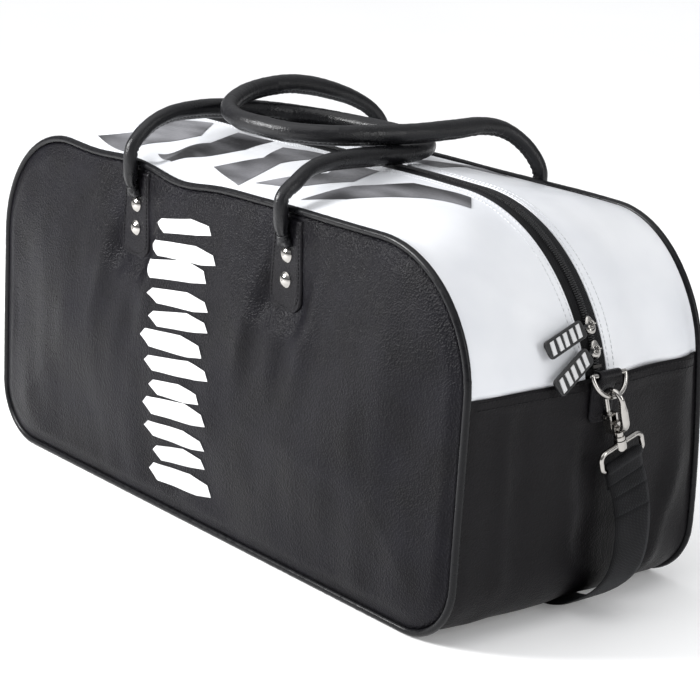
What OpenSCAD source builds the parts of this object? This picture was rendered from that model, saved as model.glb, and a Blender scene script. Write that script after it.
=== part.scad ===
// Sports holdall: two piped side panels, a crowned pale top with a full-length zip,
// a dark base strip, two rolled handles and a clip-on shoulder strap.
// X runs along the bag, Y through its depth (front at -Y), Z up from the floor.

/* [Bag body] */
// Length of the bag over the piping
bag_len = 650; // [630:5:670]
// Depth between the two piping lines
bag_depth = 270; // [260:2:280]
// Height of the side panels over the piping
bag_h = 310; // [304:1:316]
// Corner radius at the top of the side panels
top_r = 108; // [104:1:110]
// Corner radius at the bottom of the side panels
base_r = 55; // [52:1:58]
// Height where the pale top cloth meets the dark base cloth
border_z = 203; // [201:1:206]
// Rise of the top along the zip above its sewn edges
crown_top = 19; // [17:1:21]
// Bulge of the ends at the zip line
crown_end = 7; // [5:1:9]
// Corner radius of the zip line
zip_r = 157; // [154:1:160]
// Thickness of the coated cloth
cloth_t = 2.2; // [1.8:0.1:2.4]
// Radius of the piping
piping_r = 3.25; // [3:0.05:3.5]

/* [Zip] */
// Half of the width of the visible zip band
band_half = 12; // [11:0.5:13]
// Angle up the end corner where the upper slider is parked
slider_a_deg = 27.5; // [27:0.5:30]
// Angle up the end corner where the lower slider is parked
slider_b_deg = 20.6; // [20.5:0.1:21]
// Length of a puller tag
tag_len = 52; // [44:1:54]
// Width of a puller tag
tag_w = 15; // [12:0.5:16]

/* [Handles] */
// Half of the distance between the two feet of a handle
foot_x = 106; // [104:1:108]
// Height of the upper rivet in each handle tab
rivet_z = 269; // [267:1:271]
// Distance between the two rivets of a tab
rivet_gap = 21; // [20:0.5:22]
// Radius of the handle where the hand holds it
grip_r = 7.8; // [7:0.1:8]
// Radius of the handle at its legs
leg_r = 6.3; // [6:0.1:6.5]

/* [Strap and clips] */
// Width of the strap webbing
strap_w = 40; // [38:0.5:40]
// Thickness of the strap webbing
strap_t = 2; // [1.6:0.1:2]
// Wire radius of the D ring
ring_wire = 2; // [1.8:0.1:2.1]
// Sideways tilt of the hanging snap hook
hook_tilt = 18; // [14:1:20]

/* [Hidden] */

$fn = 48;
gap = 0.3;
leather = "#2b2a2e";
pale = "#e4e6ea";
metal = "#c9c6c1";
fabric = "#17171a";

// The sewn outline runs along the middle of the piping.
seam_a = bag_len / 2 - piping_r;
seam_top = bag_h - piping_r;
seam_base = piping_r;
seam_rt = top_r - piping_r;
seam_rb = base_r - piping_r;
// The zip line stands proud of it by the crown.
mid_a = seam_a + crown_end;
mid_top = seam_top + crown_top;
arc_x = mid_a - zip_r;
arc_z = mid_top - zip_r;
gusset_half = bag_depth / 2 - piping_r - 0.1;
seat_y = bag_depth / 2 + cloth_t / 2;

function unit(v) = v / norm(v);
function crown(y) = 1 - pow(y / gusset_half, 2);

// ---- cloth strips: a grid of outer points, a grid of inner points, closed all round ----

function half_length(k, t) = seam_a + crown_end * k - t;
function upper_radius(k, t) = seam_rt + (zip_r - seam_rt) * k - t;
function upper_x(k, t) = half_length(k, t) - upper_radius(k, t);
function upper_z(k) = seam_top + crown_top * k - upper_radius(k, 0);
function border_angle(k, t) = asin((border_z - upper_z(k)) / upper_radius(k, t));

// One end corner of the top cloth, from the border up to the flat of the top.
function upper_corner(k, t, steps) = [
    for (i = [0:steps])
        let (a = border_angle(k, t) + (90 - border_angle(k, t)) * i / steps)
        [upper_x(k, t) + upper_radius(k, t) * cos(a), upper_z(k) + upper_radius(k, t) * sin(a)]
];

// One end of the base cloth, from the border down to the flat of the base.
function lower_corner(k, t, steps) = concat(
    [for (i = [0:2])
        let (a = border_angle(k, t) * (1 - i / 2))
        [upper_x(k, t) + upper_radius(k, t) * cos(a), upper_z(k) + upper_radius(k, t) * sin(a)]],
    [for (i = [0:steps])
        let (a = -90 * i / steps)
        [half_length(k, t) - seam_rb + t + (seam_rb - t) * cos(a),
         seam_base + seam_rb + (seam_rb - t) * sin(a)]]
);

function mirrored(side) = concat(side, [for (i = [len(side) - 1:-1:0]) [-side[i].x, side[i].y]]);
function at_y(line, y) = [for (p = line) [p.x, y, p.y]];
function top_grid(ys, t) = [for (y = ys) at_y(mirrored(upper_corner(crown(y), t, 12)), y)];
function base_grid(ys, t) = [for (y = ys) at_y(mirrored(lower_corner(crown(y), t, 7)), y)];

module skin(outer, inner) {
    rows = len(outer);
    cols = len(outer[0]);
    n = rows * cols;
    points = concat([for (row = outer) each row], [for (row = inner) each row]);
    function at(r, c) = r * cols + c;
    function quad(a, b, c, d) = [[a, b, c], [a, c, d]];
    faces = concat(
        [for (r = [0:rows - 2], c = [0:cols - 2])
            each quad(at(r, c), at(r, c + 1), at(r + 1, c + 1), at(r + 1, c))],
        [for (r = [0:rows - 2], c = [0:cols - 2])
            each quad(n + at(r + 1, c), n + at(r + 1, c + 1), n + at(r, c + 1), n + at(r, c))],
        [for (c = [0:cols - 2])
            each quad(at(0, c + 1), at(0, c), n + at(0, c), n + at(0, c + 1))],
        [for (c = [0:cols - 2])
            each quad(at(rows - 1, c), at(rows - 1, c + 1), n + at(rows - 1, c + 1), n + at(rows - 1, c))],
        [for (r = [0:rows - 2])
            each quad(at(r, 0), at(r + 1, 0), n + at(r + 1, 0), n + at(r, 0))],
        [for (r = [0:rows - 2])
            each quad(at(r + 1, cols - 1), at(r, cols - 1), n + at(r, cols - 1), n + at(r + 1, cols - 1))]
    );
    polyhedron(points, faces);
}

// ---- round tubes swept along a route, with the cross-section carried from ring to ring ----

function route_dirs(p) = [
    for (i = [0:len(p) - 1]) unit(p[min(i + 1, len(p) - 1)] - p[max(i - 1, 0)])
];
function carried(dirs, i, side) =
    i == len(dirs) ? [] :
    let (s = unit(side - (side * dirs[i]) * dirs[i])) concat([s], carried(dirs, i + 1, s));
function midway(a, b, c, d) = (9 * (b + c) - a - d) / 16;
function smoothed(p) = concat(
    [for (i = [0:len(p) - 2])
        each [p[i], midway(p[max(i - 1, 0)], p[i], p[i + 1], p[min(i + 2, len(p) - 1)])]],
    [p[len(p) - 1]]
);

module swept(route, radii, sides) {
    dirs = route_dirs(route);
    side = carried(dirs, 0, [1, 0, 0]);
    last = len(route) - 1;
    points = [
        for (i = [0:last], s = [0:sides - 1])
            route[i] + radii[i] * (cos(360 * s / sides) * side[i]
                + sin(360 * s / sides) * cross(dirs[i], side[i]))
    ];
    faces = concat(
        [[for (s = [0:sides - 1]) s]],
        [for (i = [0:last - 1], s = [0:sides - 1])
            let (a = i * sides + s, b = i * sides + (s + 1) % sides)
            each [[a, a + sides, b + sides], [a, b + sides, b]]],
        [[for (s = [sides - 1:-1:0]) last * sides + s]]
    );
    polyhedron(points, faces);
}

// ---- the outline of a side panel, moved in from the piping's outer edge ----

module panel_outline(inset) {
    a = bag_len / 2 - inset;
    rt = top_r - inset;
    rb = base_r - inset;
    for (side = [-1, 1]) {
        translate([side * (a - rt), bag_h - top_r]) circle(rt, $fn = 96);
        translate([side * (a - rb), base_r]) circle(rb, $fn = 96);
    }
    translate([-a, base_r]) square([2 * a, bag_h - top_r - base_r]);
    translate([-(a - rt), bag_h - top_r]) square([2 * (a - rt), rt]);
    translate([-(a - rb), inset]) square([2 * (a - rb), base_r - inset]);
}

module upright(y0, y1) {
    translate([0, y1, 0]) rotate([90, 0, 0]) linear_extrude(y1 - y0) children();
}

module side_panel(side) {
    color(leather) difference() {
        upright(side * bag_depth / 2 - cloth_t / 2, side * bag_depth / 2 + cloth_t / 2)
            panel_outline(2 * piping_r + 0.1);
        rivet_places(side) cylinder(r = 2.1, h = 30, center = true);
    }
}
module front_panel() { side_panel(-1); }
module rear_panel() { side_panel(1); }

top_stations = [0, 0.1, 0.25, 0.45, 0.7, 1];
function top_ys(side) = [
    for (s = top_stations)
        let (y = gusset_half + (band_half + gap - gusset_half) * s)
        side * y
];
function sorted_ys(side) = side < 0 ? top_ys(-1) : [for (i = [5:-1:0]) top_ys(1)[i]];

module top_panel(side) {
    color(pale) skin(top_grid(sorted_ys(side), 0), top_grid(sorted_ys(side), cloth_t));
}
module top_panel_front() { top_panel(-1); }
module top_panel_rear() { top_panel(1); }

module base_strip() {
    ys = [for (s = [-1, -0.9, -0.7, -0.4, 0, 0.4, 0.7, 0.9, 1]) s * gusset_half];
    color(leather) skin(base_grid(ys, 0), base_grid(ys, cloth_t));
}

// ---- piping: quarter rings at the corners and rods between them ----

module quarter(cx, cz, r, from, tube_r) {
    translate([cx, 0, cz]) rotate([90, 0, 0]) rotate([0, 0, from])
        rotate_extrude(angle = 90, $fn = 96) translate([r, 0]) circle(tube_r, $fn = 24);
}

module piping_loop(y, tube_r) {
    translate([0, y, 0]) {
        for (side = [0, 1]) mirror([side, 0, 0]) {
            quarter(seam_a - seam_rt, seam_top - seam_rt, seam_rt, 0, tube_r);
            quarter(seam_a - seam_rb, seam_base + seam_rb, seam_rb, -90, tube_r);
            translate([seam_a, 0, seam_base + seam_rb])
                cylinder(r = tube_r, h = seam_top - seam_rt - seam_base - seam_rb, $fn = 24);
        }
        translate([-(seam_a - seam_rt), 0, seam_top]) rotate([0, 90, 0])
            cylinder(r = tube_r, h = 2 * (seam_a - seam_rt), $fn = 24);
        translate([-(seam_a - seam_rb), 0, seam_base]) rotate([0, 90, 0])
            cylinder(r = tube_r, h = 2 * (seam_a - seam_rb), $fn = 24);
    }
}

piping_wall = 1;
module piping_cover(side) {
    color("#1c1b1e") difference() {
        piping_loop(side * bag_depth / 2, piping_r);
        piping_loop(side * bag_depth / 2, piping_r - piping_wall);
    }
}
module piping_cord(side) {
    color("#d8d4c8") piping_loop(side * bag_depth / 2, piping_r - piping_wall - 0.05);
}
module front_piping() { piping_cover(-1); }
module rear_piping() { piping_cover(1); }
module front_piping_cord() { piping_cord(-1); }
module rear_piping_cord() { piping_cord(1); }

// ---- zip: a band along the middle line, cut off at the border ----

tape_depth = 0.8;
tape_t = 1.2;
coil_h = 2.4;
coil_in = 0.9;
coil_out = 3.4;

module zip_band(low, high) {
    intersection() {
        difference() {
            band_outline(high);
            band_outline(low);
        }
        translate([-bag_len, border_z]) square([2 * bag_len, bag_h]);
    }
}

module band_outline(off) {
    r = zip_r + off;
    for (side = [-1, 1]) translate([side * arc_x, arc_z]) circle(r, $fn = 96);
    translate([-arc_x, arc_z]) square([2 * arc_x, r]);
    translate([-(arc_x + r), 0]) square([2 * (arc_x + r), arc_z]);
}

module zip_tape(side) {
    color(fabric) upright(side < 0 ? -band_half : coil_in, side < 0 ? -coil_in : band_half)
        zip_band(-tape_depth - tape_t, -tape_depth);
}
module zip_coil(side) {
    color("#242328") upright(side < 0 ? -coil_out : coil_in, side < 0 ? -coil_in : coil_out)
        zip_band(-tape_depth, coil_h - tape_depth);
}
module zip_tape_front() { zip_tape(-1); }
module zip_tape_rear() { zip_tape(1); }
module zip_coil_front() { zip_coil(-1); }
module zip_coil_rear() { zip_coil(1); }

// A frame on the zip's corner arc: local X points out of the bag, Z up along the zip.
module on_arc(deg) {
    translate([arc_x, 0, arc_z]) rotate([0, -deg, 0]) children();
}

stop_deg = 15.8;
module zip_end_stops() {
    color(metal) for (side = [0, 1]) mirror([side, 0, 0]) on_arc(stop_deg)
        translate([zip_r + coil_h - tape_depth, -4.5, -1.2]) cube([1, 9, 2.4]);
}

slider_len = 15;
slider_half = 5.5;
bail_at = zip_r + 7.2;
module slider(deg) {
    color(metal) on_arc(deg) {
        translate([zip_r + 2.2, -slider_half, -slider_len / 2]) cube([2, 2 * slider_half, slider_len]);
        translate([zip_r - 5.1, -slider_half, -slider_len / 2]) cube([2, 2 * slider_half, slider_len]);
        translate([zip_r - 4, -0.5, 1.5]) cube([7, 1, slider_len / 2 - 2]);
        difference() {
            union() {
                translate([bail_at, 0, -1]) cylinder(r = 2.2, h = 2);
                translate([zip_r + 4, -1.3, -1]) cube([bail_at - zip_r - 5.4, 2.6, 2]);
            }
            translate([bail_at, 0, -3]) cylinder(r = 1.15, h = 6);
        }
    }
}
module slider_a() { slider(slider_a_deg); }
module slider_b() { slider(slider_b_deg); }

// A puller: ring through the bail, then a moulded tag with a barrel on the ring.
pull_r = 3.4;
pull_wire = 0.8;
tag_t = 3;
tag_drop_a = 17;
tag_drop_b = 29;

module puller_ring(deg) {
    color(metal) on_arc(deg) translate([bail_at, -pull_r, 0]) rotate([0, 90, 0])
        rotate_extrude() translate([pull_r, 0]) circle(pull_wire, $fn = 24);
}
module puller_ring_a() { puller_ring(slider_a_deg); }
module puller_ring_b() { puller_ring(slider_b_deg); }

// Local frame of a tag: Y away from the ring along the tag, Z across it.
module on_tag(deg, drop) {
    on_arc(deg) translate([bail_at, -2 * pull_r, 0]) rotate([180 + drop, 0, 0]) children();
}
neck = 6;
neck_half = 1.3;
module puller_tag(deg, drop) {
    color("#18181a") on_tag(deg, drop) difference() {
        union() {
            translate([-tag_t / 2, neck, -tag_w / 2]) cube([tag_t, tag_len - neck, tag_w]);
            translate([-tag_t / 2, 0, -neck_half]) cube([tag_t, neck + 1, 2 * neck_half]);
            translate([0, 0, -neck_half]) cylinder(r = 2.75, h = 2 * neck_half);
        }
        rotate([-180 - drop, 0, 0]) translate([0, 0.45, 0])
            cylinder(r = pull_wire + 1, h = 14, center = true);
    }
}
module puller_tag_a() { puller_tag(slider_a_deg, tag_drop_a); }
module puller_tag_b() { puller_tag(slider_b_deg, tag_drop_b); }

bar_n = 5;
module tag_bars(deg, drop) {
    pitch = (tag_len - neck - 6) / bar_n;
    color("white") on_tag(deg, drop) for (i = [0:bar_n - 1])
        translate([tag_t / 2, neck + 4 + pitch * i, -tag_w * 0.36])
            cube([1, pitch * 0.5, tag_w * 0.72]);
}
module tag_bars_a() { tag_bars(slider_a_deg, tag_drop_a); }
module tag_bars_b() { tag_bars(slider_b_deg, tag_drop_b); }

// ---- inside the bag ----

board_t = 3;
module base_board() {
    color("#3a3a3c") translate([-265, -120, seam_base + cloth_t + gap]) cube([530, 240, board_t]);
}

lining_in = 14;
lining_t = 0.8;
module lining() {
    color("#55565c") difference() {
        upright(-bag_depth / 2 + lining_in, bag_depth / 2 - lining_in) panel_outline(lining_in);
        upright(-bag_depth / 2 + lining_in + lining_t, bag_depth / 2 - lining_in - lining_t)
            panel_outline(lining_in + lining_t);
        translate([-200, -band_half, bag_h / 2]) cube([400, 2 * band_half, bag_h]);
    }
}

// ---- handles ----

tab_w = 42;
tab_low = 222;
tab_high = 279;
tab_corner = 13;
leg_y = bag_depth / 2 + 10;
hinge_z = 315;
socket = 0.5;

// Places children at every rivet of one side, with Z pointing out of the bag.
module rivet_places(side) {
    for (x = [-foot_x, foot_x], z = [rivet_z, rivet_z - rivet_gap])
        translate([x, side * seat_y, z]) rotate([side > 0 ? -90 : 90, 0, 0]) children();
}

module handle_tabs(side) {
    color(leather) difference() {
        for (x = [-foot_x, foot_x])
            upright(side > 0 ? seat_y : -seat_y - cloth_t, side > 0 ? seat_y + cloth_t : -seat_y)
                translate([x, 0]) {
                    translate([-tab_w / 2, tab_low + tab_corner])
                        square([tab_w, tab_high - tab_low - tab_corner]);
                    translate([-tab_w / 2 + tab_corner, tab_low])
                        square([tab_w - 2 * tab_corner, tab_corner]);
                    for (s = [-1, 1])
                        translate([s * (tab_w / 2 - tab_corner), tab_low + tab_corner]) circle(tab_corner);
                }
        rivet_places(side) cylinder(r = 2.1, h = 30, center = true);
    }
}
module front_handle_tabs() { handle_tabs(-1); }
module rear_handle_tabs() { handle_tabs(1); }

rivet_r = 7;
rivet_dome = 3;
module rivets(side) {
    ball_r = (pow(rivet_r, 2) + pow(rivet_dome, 2)) / (2 * rivet_dome);
    color(metal) rivet_places(side) translate([0, 0, cloth_t]) {
        rotate_extrude() intersection() {
            translate([0, rivet_dome - ball_r]) circle(ball_r, $fn = 96);
            square([rivet_r, rivet_dome]);
        }
        translate([0, 0, -2 * cloth_t - 1.6]) cylinder(r = 2, h = 2 * cloth_t + 1.7);
    }
}
module front_rivets() { rivets(-1); }
module rear_rivets() { rivets(1); }

module rivet_washers(side) {
    color(metal) rivet_places(side) translate([0, 0, -cloth_t - 1.3]) difference() {
        cylinder(r = 6, h = 1.2);
        translate([0, 0, -1]) cylinder(r = 2.1, h = 4);
    }
}
module front_rivet_washers() { rivet_washers(-1); }
module rear_rivet_washers() { rivet_washers(1); }

module handle_collars(side) {
    color(leather) for (x = [-foot_x, foot_x])
        translate([x, side * leg_y, tab_high + 1]) difference() {
            cylinder(r = leg_r + 2, h = 9);
            translate([0, 0, -1]) cylinder(r = leg_r + 0.1, h = 11);
        }
}
module front_handle_collars() { handle_collars(-1); }
module rear_handle_collars() { handle_collars(1); }

// The fixed leg of a handle ends in a hollow that the round end of the grip turns in.
module handle_legs(side) {
    color(leather) for (x = [-foot_x, foot_x]) difference() {
        translate([x, side * leg_y, tab_high + 2]) cylinder(r = leg_r, h = hinge_z - tab_high - 5.2);
        translate([x, side * leg_y, hinge_z]) sphere(leg_r + socket);
    }
}
module front_handle_legs() { handle_legs(-1); }
module rear_handle_legs() { handle_legs(1); }

// Routes of the two grips from hinge to hinge, as they lie on the bag.
front_route = [
    [-foot_x, -leg_y, hinge_z], [-106, -138, 328], [-107, -122, 340], [-109, -100, 347],
    [-111, -70, 349], [-112, -40, 348], [-112, -10, 345], [-110, 15, 342], [-100, 38, 339],
    [-80, 55, 337], [-45, 66, 336], [0, 70, 336], [35, 64, 336], [60, 50, 336], [74, 30, 336],
    [79, 5, 336], [82, -25, 337], [86, -60, 338], [93, -90, 338], [99, -112, 335],
    [104, -130, 327], [foot_x, -leg_y, hinge_z]
];
rear_route = [
    [-foot_x, leg_y, hinge_z], [-105, 138, 328], [-105, 124, 340], [-105, 104, 350],
    [-105, 80, 358], [-106, 55, 364], [-107, 30, 367], [-107, 5, 366], [-103, -20, 363],
    [-92, -42, 360], [-76, -62, 357], [-52, -80, 356], [-25, -91, 355], [5, -93, 355],
    [35, -86, 354], [57, -70, 354], [71, -46, 354], [79, -15, 354], [84, 20, 354],
    [86, 55, 355], [88, 90, 356], [92, 115, 350], [100, 134, 335], [foot_x, leg_y, hinge_z]
];

rope_r = 0.62;
function grip_swell(i, n) = leg_r + (grip_r - leg_r) * min(1, min(i, n - i) / 8);

// The round end at the hinge: short rings behind the first point, along the leg.
function ball_end(z_sign) = [for (a = [80, 55, 28]) [leg_r * sin(a) * z_sign, leg_r * cos(a)]];

function with_ends(route) = concat(
    [for (b = ball_end(-1)) route[0] + [0, 0, b.x]],
    smoothed(route),
    [for (i = [2:-1:0]) route[len(route) - 1] + [0, 0, ball_end(-1)[i].x]]
);
function end_radii(route) = let (n = 2 * len(route) - 2) concat(
    [for (b = ball_end(-1)) b.y],
    [for (i = [0:n]) grip_swell(i, n)],
    [for (i = [2:-1:0]) ball_end(-1)[i].y]
);

module grip(route) {
    inner = smoothed(route);
    n = len(inner) - 1;
    color(leather) difference() {
        swept(with_ends(route), end_radii(route), 12);
        swept(inner, [for (i = [0:n]) grip_swell(i, n) * (rope_r + 0.04)], 8);
    }
}
module rope(route) {
    inner = smoothed(route);
    n = len(inner) - 1;
    color("#cfc9b8") swept(inner, [for (i = [0:n]) grip_swell(i, n) * rope_r], 8);
}
module front_handle_grip() { grip(front_route); }
module rear_handle_grip() { grip(rear_route); }
module front_handle_rope() { rope(front_route); }
module rear_handle_rope() { rope(rear_route); }

// ---- strap clips: drawn at the right end and mirrored to the left ----

ring_r = 18;
ring_lean = 22.9;
ring_at = [335, 3, 208];
ring_low = ring_at + [ring_r * sin(ring_lean), 0, -ring_r * cos(ring_lean)];

module at_end(left) { mirror([left, 0, 0]) children(); }

// Between two points of the YZ plane: a rod, with a ball at its first end.
module rod(a, b, r) {
    d = b - a;
    translate([0, a.x, a.y]) {
        rotate([-atan2(d.x, d.y), 0, 0]) cylinder(r = r, h = norm(d), $fn = 32);
        sphere(r, $fn = 32);
    }
}

tab_half = 12.5;
loop_r = ring_wire + gap;
module ring_tab(left) {
    color(leather) at_end(left) translate([ring_at.x, ring_at.y, ring_at.z]) {
        translate([0, tab_half, 0]) rotate([90, 0, 0]) linear_extrude(2 * tab_half) difference() {
            union() {
                circle(loop_r + 1.7);
                polygon([[-5.9, -6], [-5.9, -42], [-4.7, -42], [-4.7, -12], [-1, -5], [3.8, -0.5], [-3.8, -0.5]]);
            }
            circle(loop_r);
        }
    }
}
module ring_tab_right() { ring_tab(0); }
module ring_tab_left() { ring_tab(1); }

module d_ring(left) {
    color(metal) at_end(left) translate(ring_at) rotate([0, -ring_lean, 0]) {
        rotate([0, 90, 0]) rotate([0, 0, -90]) rotate_extrude(angle = 180, $fn = 64)
            translate([ring_r, 0]) circle(ring_wire, $fn = 24);
        rod([-ring_r, 0], [ring_r, 0], ring_wire);
        translate([0, ring_r, 0]) sphere(ring_wire, $fn = 32);
    }
}
module d_ring_right() { d_ring(0); }
module d_ring_left() { d_ring(1); }

// Local frame of the snap hook: origin in the ring's wire, Z up along the hook.
module on_hook(left) {
    at_end(left) translate(ring_low) rotate([hook_tilt, 0, 0]) children();
}

bow_r = 8.5;
bow_wire = 2.5;
bow_top = -3;
bow_low = -20;
gate_at = [-bow_r, -19.5];
gate_len = 15;

module bow_arc(cz, from, sweep, wire) {
    translate([0, 0, cz]) rotate([90, 0, 0]) rotate([0, 0, from])
        rotate_extrude(angle = sweep, $fn = 64) translate([bow_r, 0]) circle(wire, $fn = 24);
}

module snap_hook(left) {
    color(metal) on_hook(left) {
        bow_arc(bow_top, 0, 166, bow_wire);
        bow_arc(bow_low, -90, 90, bow_wire);
        translate([bow_r, 0, bow_low]) cylinder(r = bow_wire, h = bow_top - bow_low, $fn = 24);
    }
}
module snap_hook_right() { snap_hook(0); }
module snap_hook_left() { snap_hook(1); }

// The bow's cast end: two ears for the gate, then a stem that the eye turns on.
module hook_stem(left) {
    color(metal) on_hook(left) {
        difference() {
            union() {
                for (s = [-1, 1]) translate([-11.2, s > 0 ? 2.6 : -4.4, -28]) cube([8.2, 1.8, 11]);
                translate([-10, -4, -33]) cube([10, 8, 9.5]);
            }
            translate([gate_at.x, 0, gate_at.y]) rotate([90, 0, 0]) cylinder(r = 1.1, h = 20, center = true);
        }
        translate([0, 0, -36]) cylinder(r = 3.4, h = 4.7);
        translate([0, 0, -38.2]) cylinder(r = 4.4, h = 3);
        translate([0, 0, -47]) cylinder(r = 1.8, h = 10);
        translate([0, 0, -48]) cylinder(r = 3, h = 1.6);
    }
}
module hook_stem_right() { hook_stem(0); }
module hook_stem_left() { hook_stem(1); }

module hook_gate(left) {
    color(metal) on_hook(left) translate([gate_at.x, 0, gate_at.y]) {
        difference() {
            union() {
                translate([0, 2.3, 0]) rotate([90, 0, 0]) cylinder(r = 2.6, h = 4.6);
                cylinder(r = 1.9, h = gate_len, $fn = 32);
                translate([0, 0, gate_len]) sphere(1.9, $fn = 32);
            }
            rotate([90, 0, 0]) cylinder(r = 1.1, h = 20, center = true);
        }
    }
}
module hook_gate_right() { hook_gate(0); }
module hook_gate_left() { hook_gate(1); }

module gate_pin(left) {
    color(metal) on_hook(left) translate([gate_at.x, 4.8, gate_at.y])
        rotate([90, 0, 0]) cylinder(r = 1, h = 9.6);
}
module gate_pin_right() { gate_pin(0); }
module gate_pin_left() { gate_pin(1); }

eye_wire = 2.2;
eye_half = strap_w / 2 + 3;
eye_bar = -57;
eye_top = -42.4;
barrel_top = -38.8;
barrel_low = -46;
top_bend = 6;
low_bend = 3;
// A quarter turn of the eye's wire in the YZ plane, about the point [cy, cz].
module eye_corner(cy, cz, from, bend) {
    translate([0, cy, cz]) rotate([0, 0, 90]) rotate([90, 0, 0]) rotate([0, 0, from])
        rotate_extrude(angle = 90, $fn = 64) translate([bend, 0]) circle(eye_wire, $fn = 24);
}
module swivel_eye(left) {
    color(metal) on_hook(left) {
        difference() {
            translate([0, 0, barrel_low]) cylinder(r = 5, h = barrel_top - barrel_low);
            translate([0, 0, barrel_low - 1]) cylinder(r = 2.1, h = 20);
        }
        for (s = [0, 1]) mirror([0, s, 0]) {
            translate([0, 3.5, eye_top]) rotate([-90, 0, 0])
                cylinder(r = eye_wire, h = eye_half - top_bend - 3.5, $fn = 24);
            eye_corner(eye_half - top_bend, eye_top - top_bend, 0, top_bend);
            translate([0, eye_half, eye_bar + low_bend])
                cylinder(r = eye_wire, h = eye_top - top_bend - eye_bar - low_bend, $fn = 24);
            eye_corner(eye_half - low_bend, eye_bar + low_bend, -90, low_bend);
        }
        translate([0, low_bend - eye_half, eye_bar]) rotate([-90, 0, 0])
            cylinder(r = eye_wire, h = 2 * (eye_half - low_bend), $fn = 24);
    }
}
module swivel_eye_right() { swivel_eye(0); }
module swivel_eye_left() { swivel_eye(1); }

// The webbing is folded over the bar and sewn to itself below it.
fold_low = -71;
module strap_end(left) {
    color(fabric) on_hook(left) translate([0, strap_w / 2, eye_bar]) rotate([90, 0, 0])
        linear_extrude(strap_w) difference() {
            union() {
                circle(eye_wire + gap + strap_t);
                polygon([[-strap_t, -9], [-strap_t, fold_low - eye_bar], [strap_t, fold_low - eye_bar],
                         [strap_t, -9], [4, -0.5], [-4, -0.5]]);
            }
            circle(eye_wire + gap);
        }
}
module strap_end_right() { strap_end(0); }
module strap_end_left() { strap_end(1); }

// Route of the strap from the right fold to the floor: X, Y, Z and sideways roll.
strap_gap = 2.9;
strap_start = ring_low + (strap_gap - fold_low) * [0, sin(hook_tilt), -cos(hook_tilt)];
strap_side = [
    [strap_start.x, strap_start.y, strap_start.z, hook_tilt], [345, 27, 114, 13],
    [349, 27, 102, 8], [353, 26, 90, 4], [355, 25, 76, 2], [355, 24, 62, 0], [352, 23, 48, 0],
    [346, 22, 37, 0], [337, 22, 27, 0], [327, 22, 19, 0], [316, 22, 11.5, 0], [305, 22, 5.5, 0],
    [293, 22, 2, 0], [280, 22, 1.3, 0], [200, 22, 1.3, 0], [100, 22, 1.3, 0], [0, 22, 1.3, 0]
];
strap_route = concat(strap_side, [
    for (i = [len(strap_side) - 2:-1:0])
        [-strap_side[i].x, strap_side[i].y, strap_side[i].z, strap_side[i][3]]
]);

module ribbon(route, width, thick) {
    line = [for (p = route) [p.x, p.y, p.z]];
    dirs = route_dirs(line);
    last = len(route) - 1;
    points = [
        for (i = [0:last])
            let (across = [0, cos(route[i][3]), sin(route[i][3])],
                 off = unit(cross(dirs[i], across)))
            each [for (c = [[-1, -1], [1, -1], [1, 1], [-1, 1]])
                line[i] + c.x * width / 2 * across + c.y * thick / 2 * off]
    ];
    faces = concat(
        [[3, 2, 1, 0]],
        [for (i = [0:last - 1], s = [0:3])
            let (a = 4 * i + s, b = 4 * i + (s + 1) % 4)
            each [[a, b, b + 4], [a, b + 4, a + 4]]],
        [[for (s = [0:3]) 4 * last + s]]
    );
    polyhedron(points, faces);
}
module strap_webbing() { color(fabric) ribbon(strap_route, strap_w, strap_t); }

adjuster_at = [-355, 24.5, 69];
adjuster_bar = 1.5;
module strap_adjuster() {
    half = strap_w / 2 + 3;
    step = strap_t / 2 + adjuster_bar + 0.3;
    color(metal) translate(adjuster_at) {
        for (z = [-9, 9]) translate([-step, 0, z]) rod([-half, 0], [half, 0], adjuster_bar);
        translate([step, 0, 0]) rod([-half, 0], [half, 0], adjuster_bar);
        for (s = [-1, 1]) translate([-step - 1.5, s > 0 ? half - 0.8 : -half - 1, -10.5])
            cube([2 * step + 3, 1.8, 21]);
    }
}

front_panel();
rear_panel();
top_panel_front();
top_panel_rear();
base_strip();
front_piping();
rear_piping();
front_piping_cord();
rear_piping_cord();
zip_tape_front();
zip_tape_rear();
zip_coil_front();
zip_coil_rear();
zip_end_stops();
base_board();
lining();
front_handle_tabs();
rear_handle_tabs();
front_rivets();
rear_rivets();
front_rivet_washers();
rear_rivet_washers();
front_handle_collars();
rear_handle_collars();
front_handle_legs();
rear_handle_legs();
front_handle_grip();
rear_handle_grip();
front_handle_rope();
rear_handle_rope();
slider_a();
slider_b();
puller_ring_a();
puller_ring_b();
puller_tag_a();
puller_tag_b();
tag_bars_a();
tag_bars_b();
ring_tab_right();
ring_tab_left();
d_ring_right();
d_ring_left();
snap_hook_right();
snap_hook_left();
hook_stem_right();
hook_stem_left();
hook_gate_right();
hook_gate_left();
gate_pin_right();
gate_pin_left();
swivel_eye_right();
swivel_eye_left();
strap_end_right();
strap_end_left();
strap_webbing();
strap_adjuster();
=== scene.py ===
import math

import bmesh
import bpy
from mathutils import Matrix, Vector, noise


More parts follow.
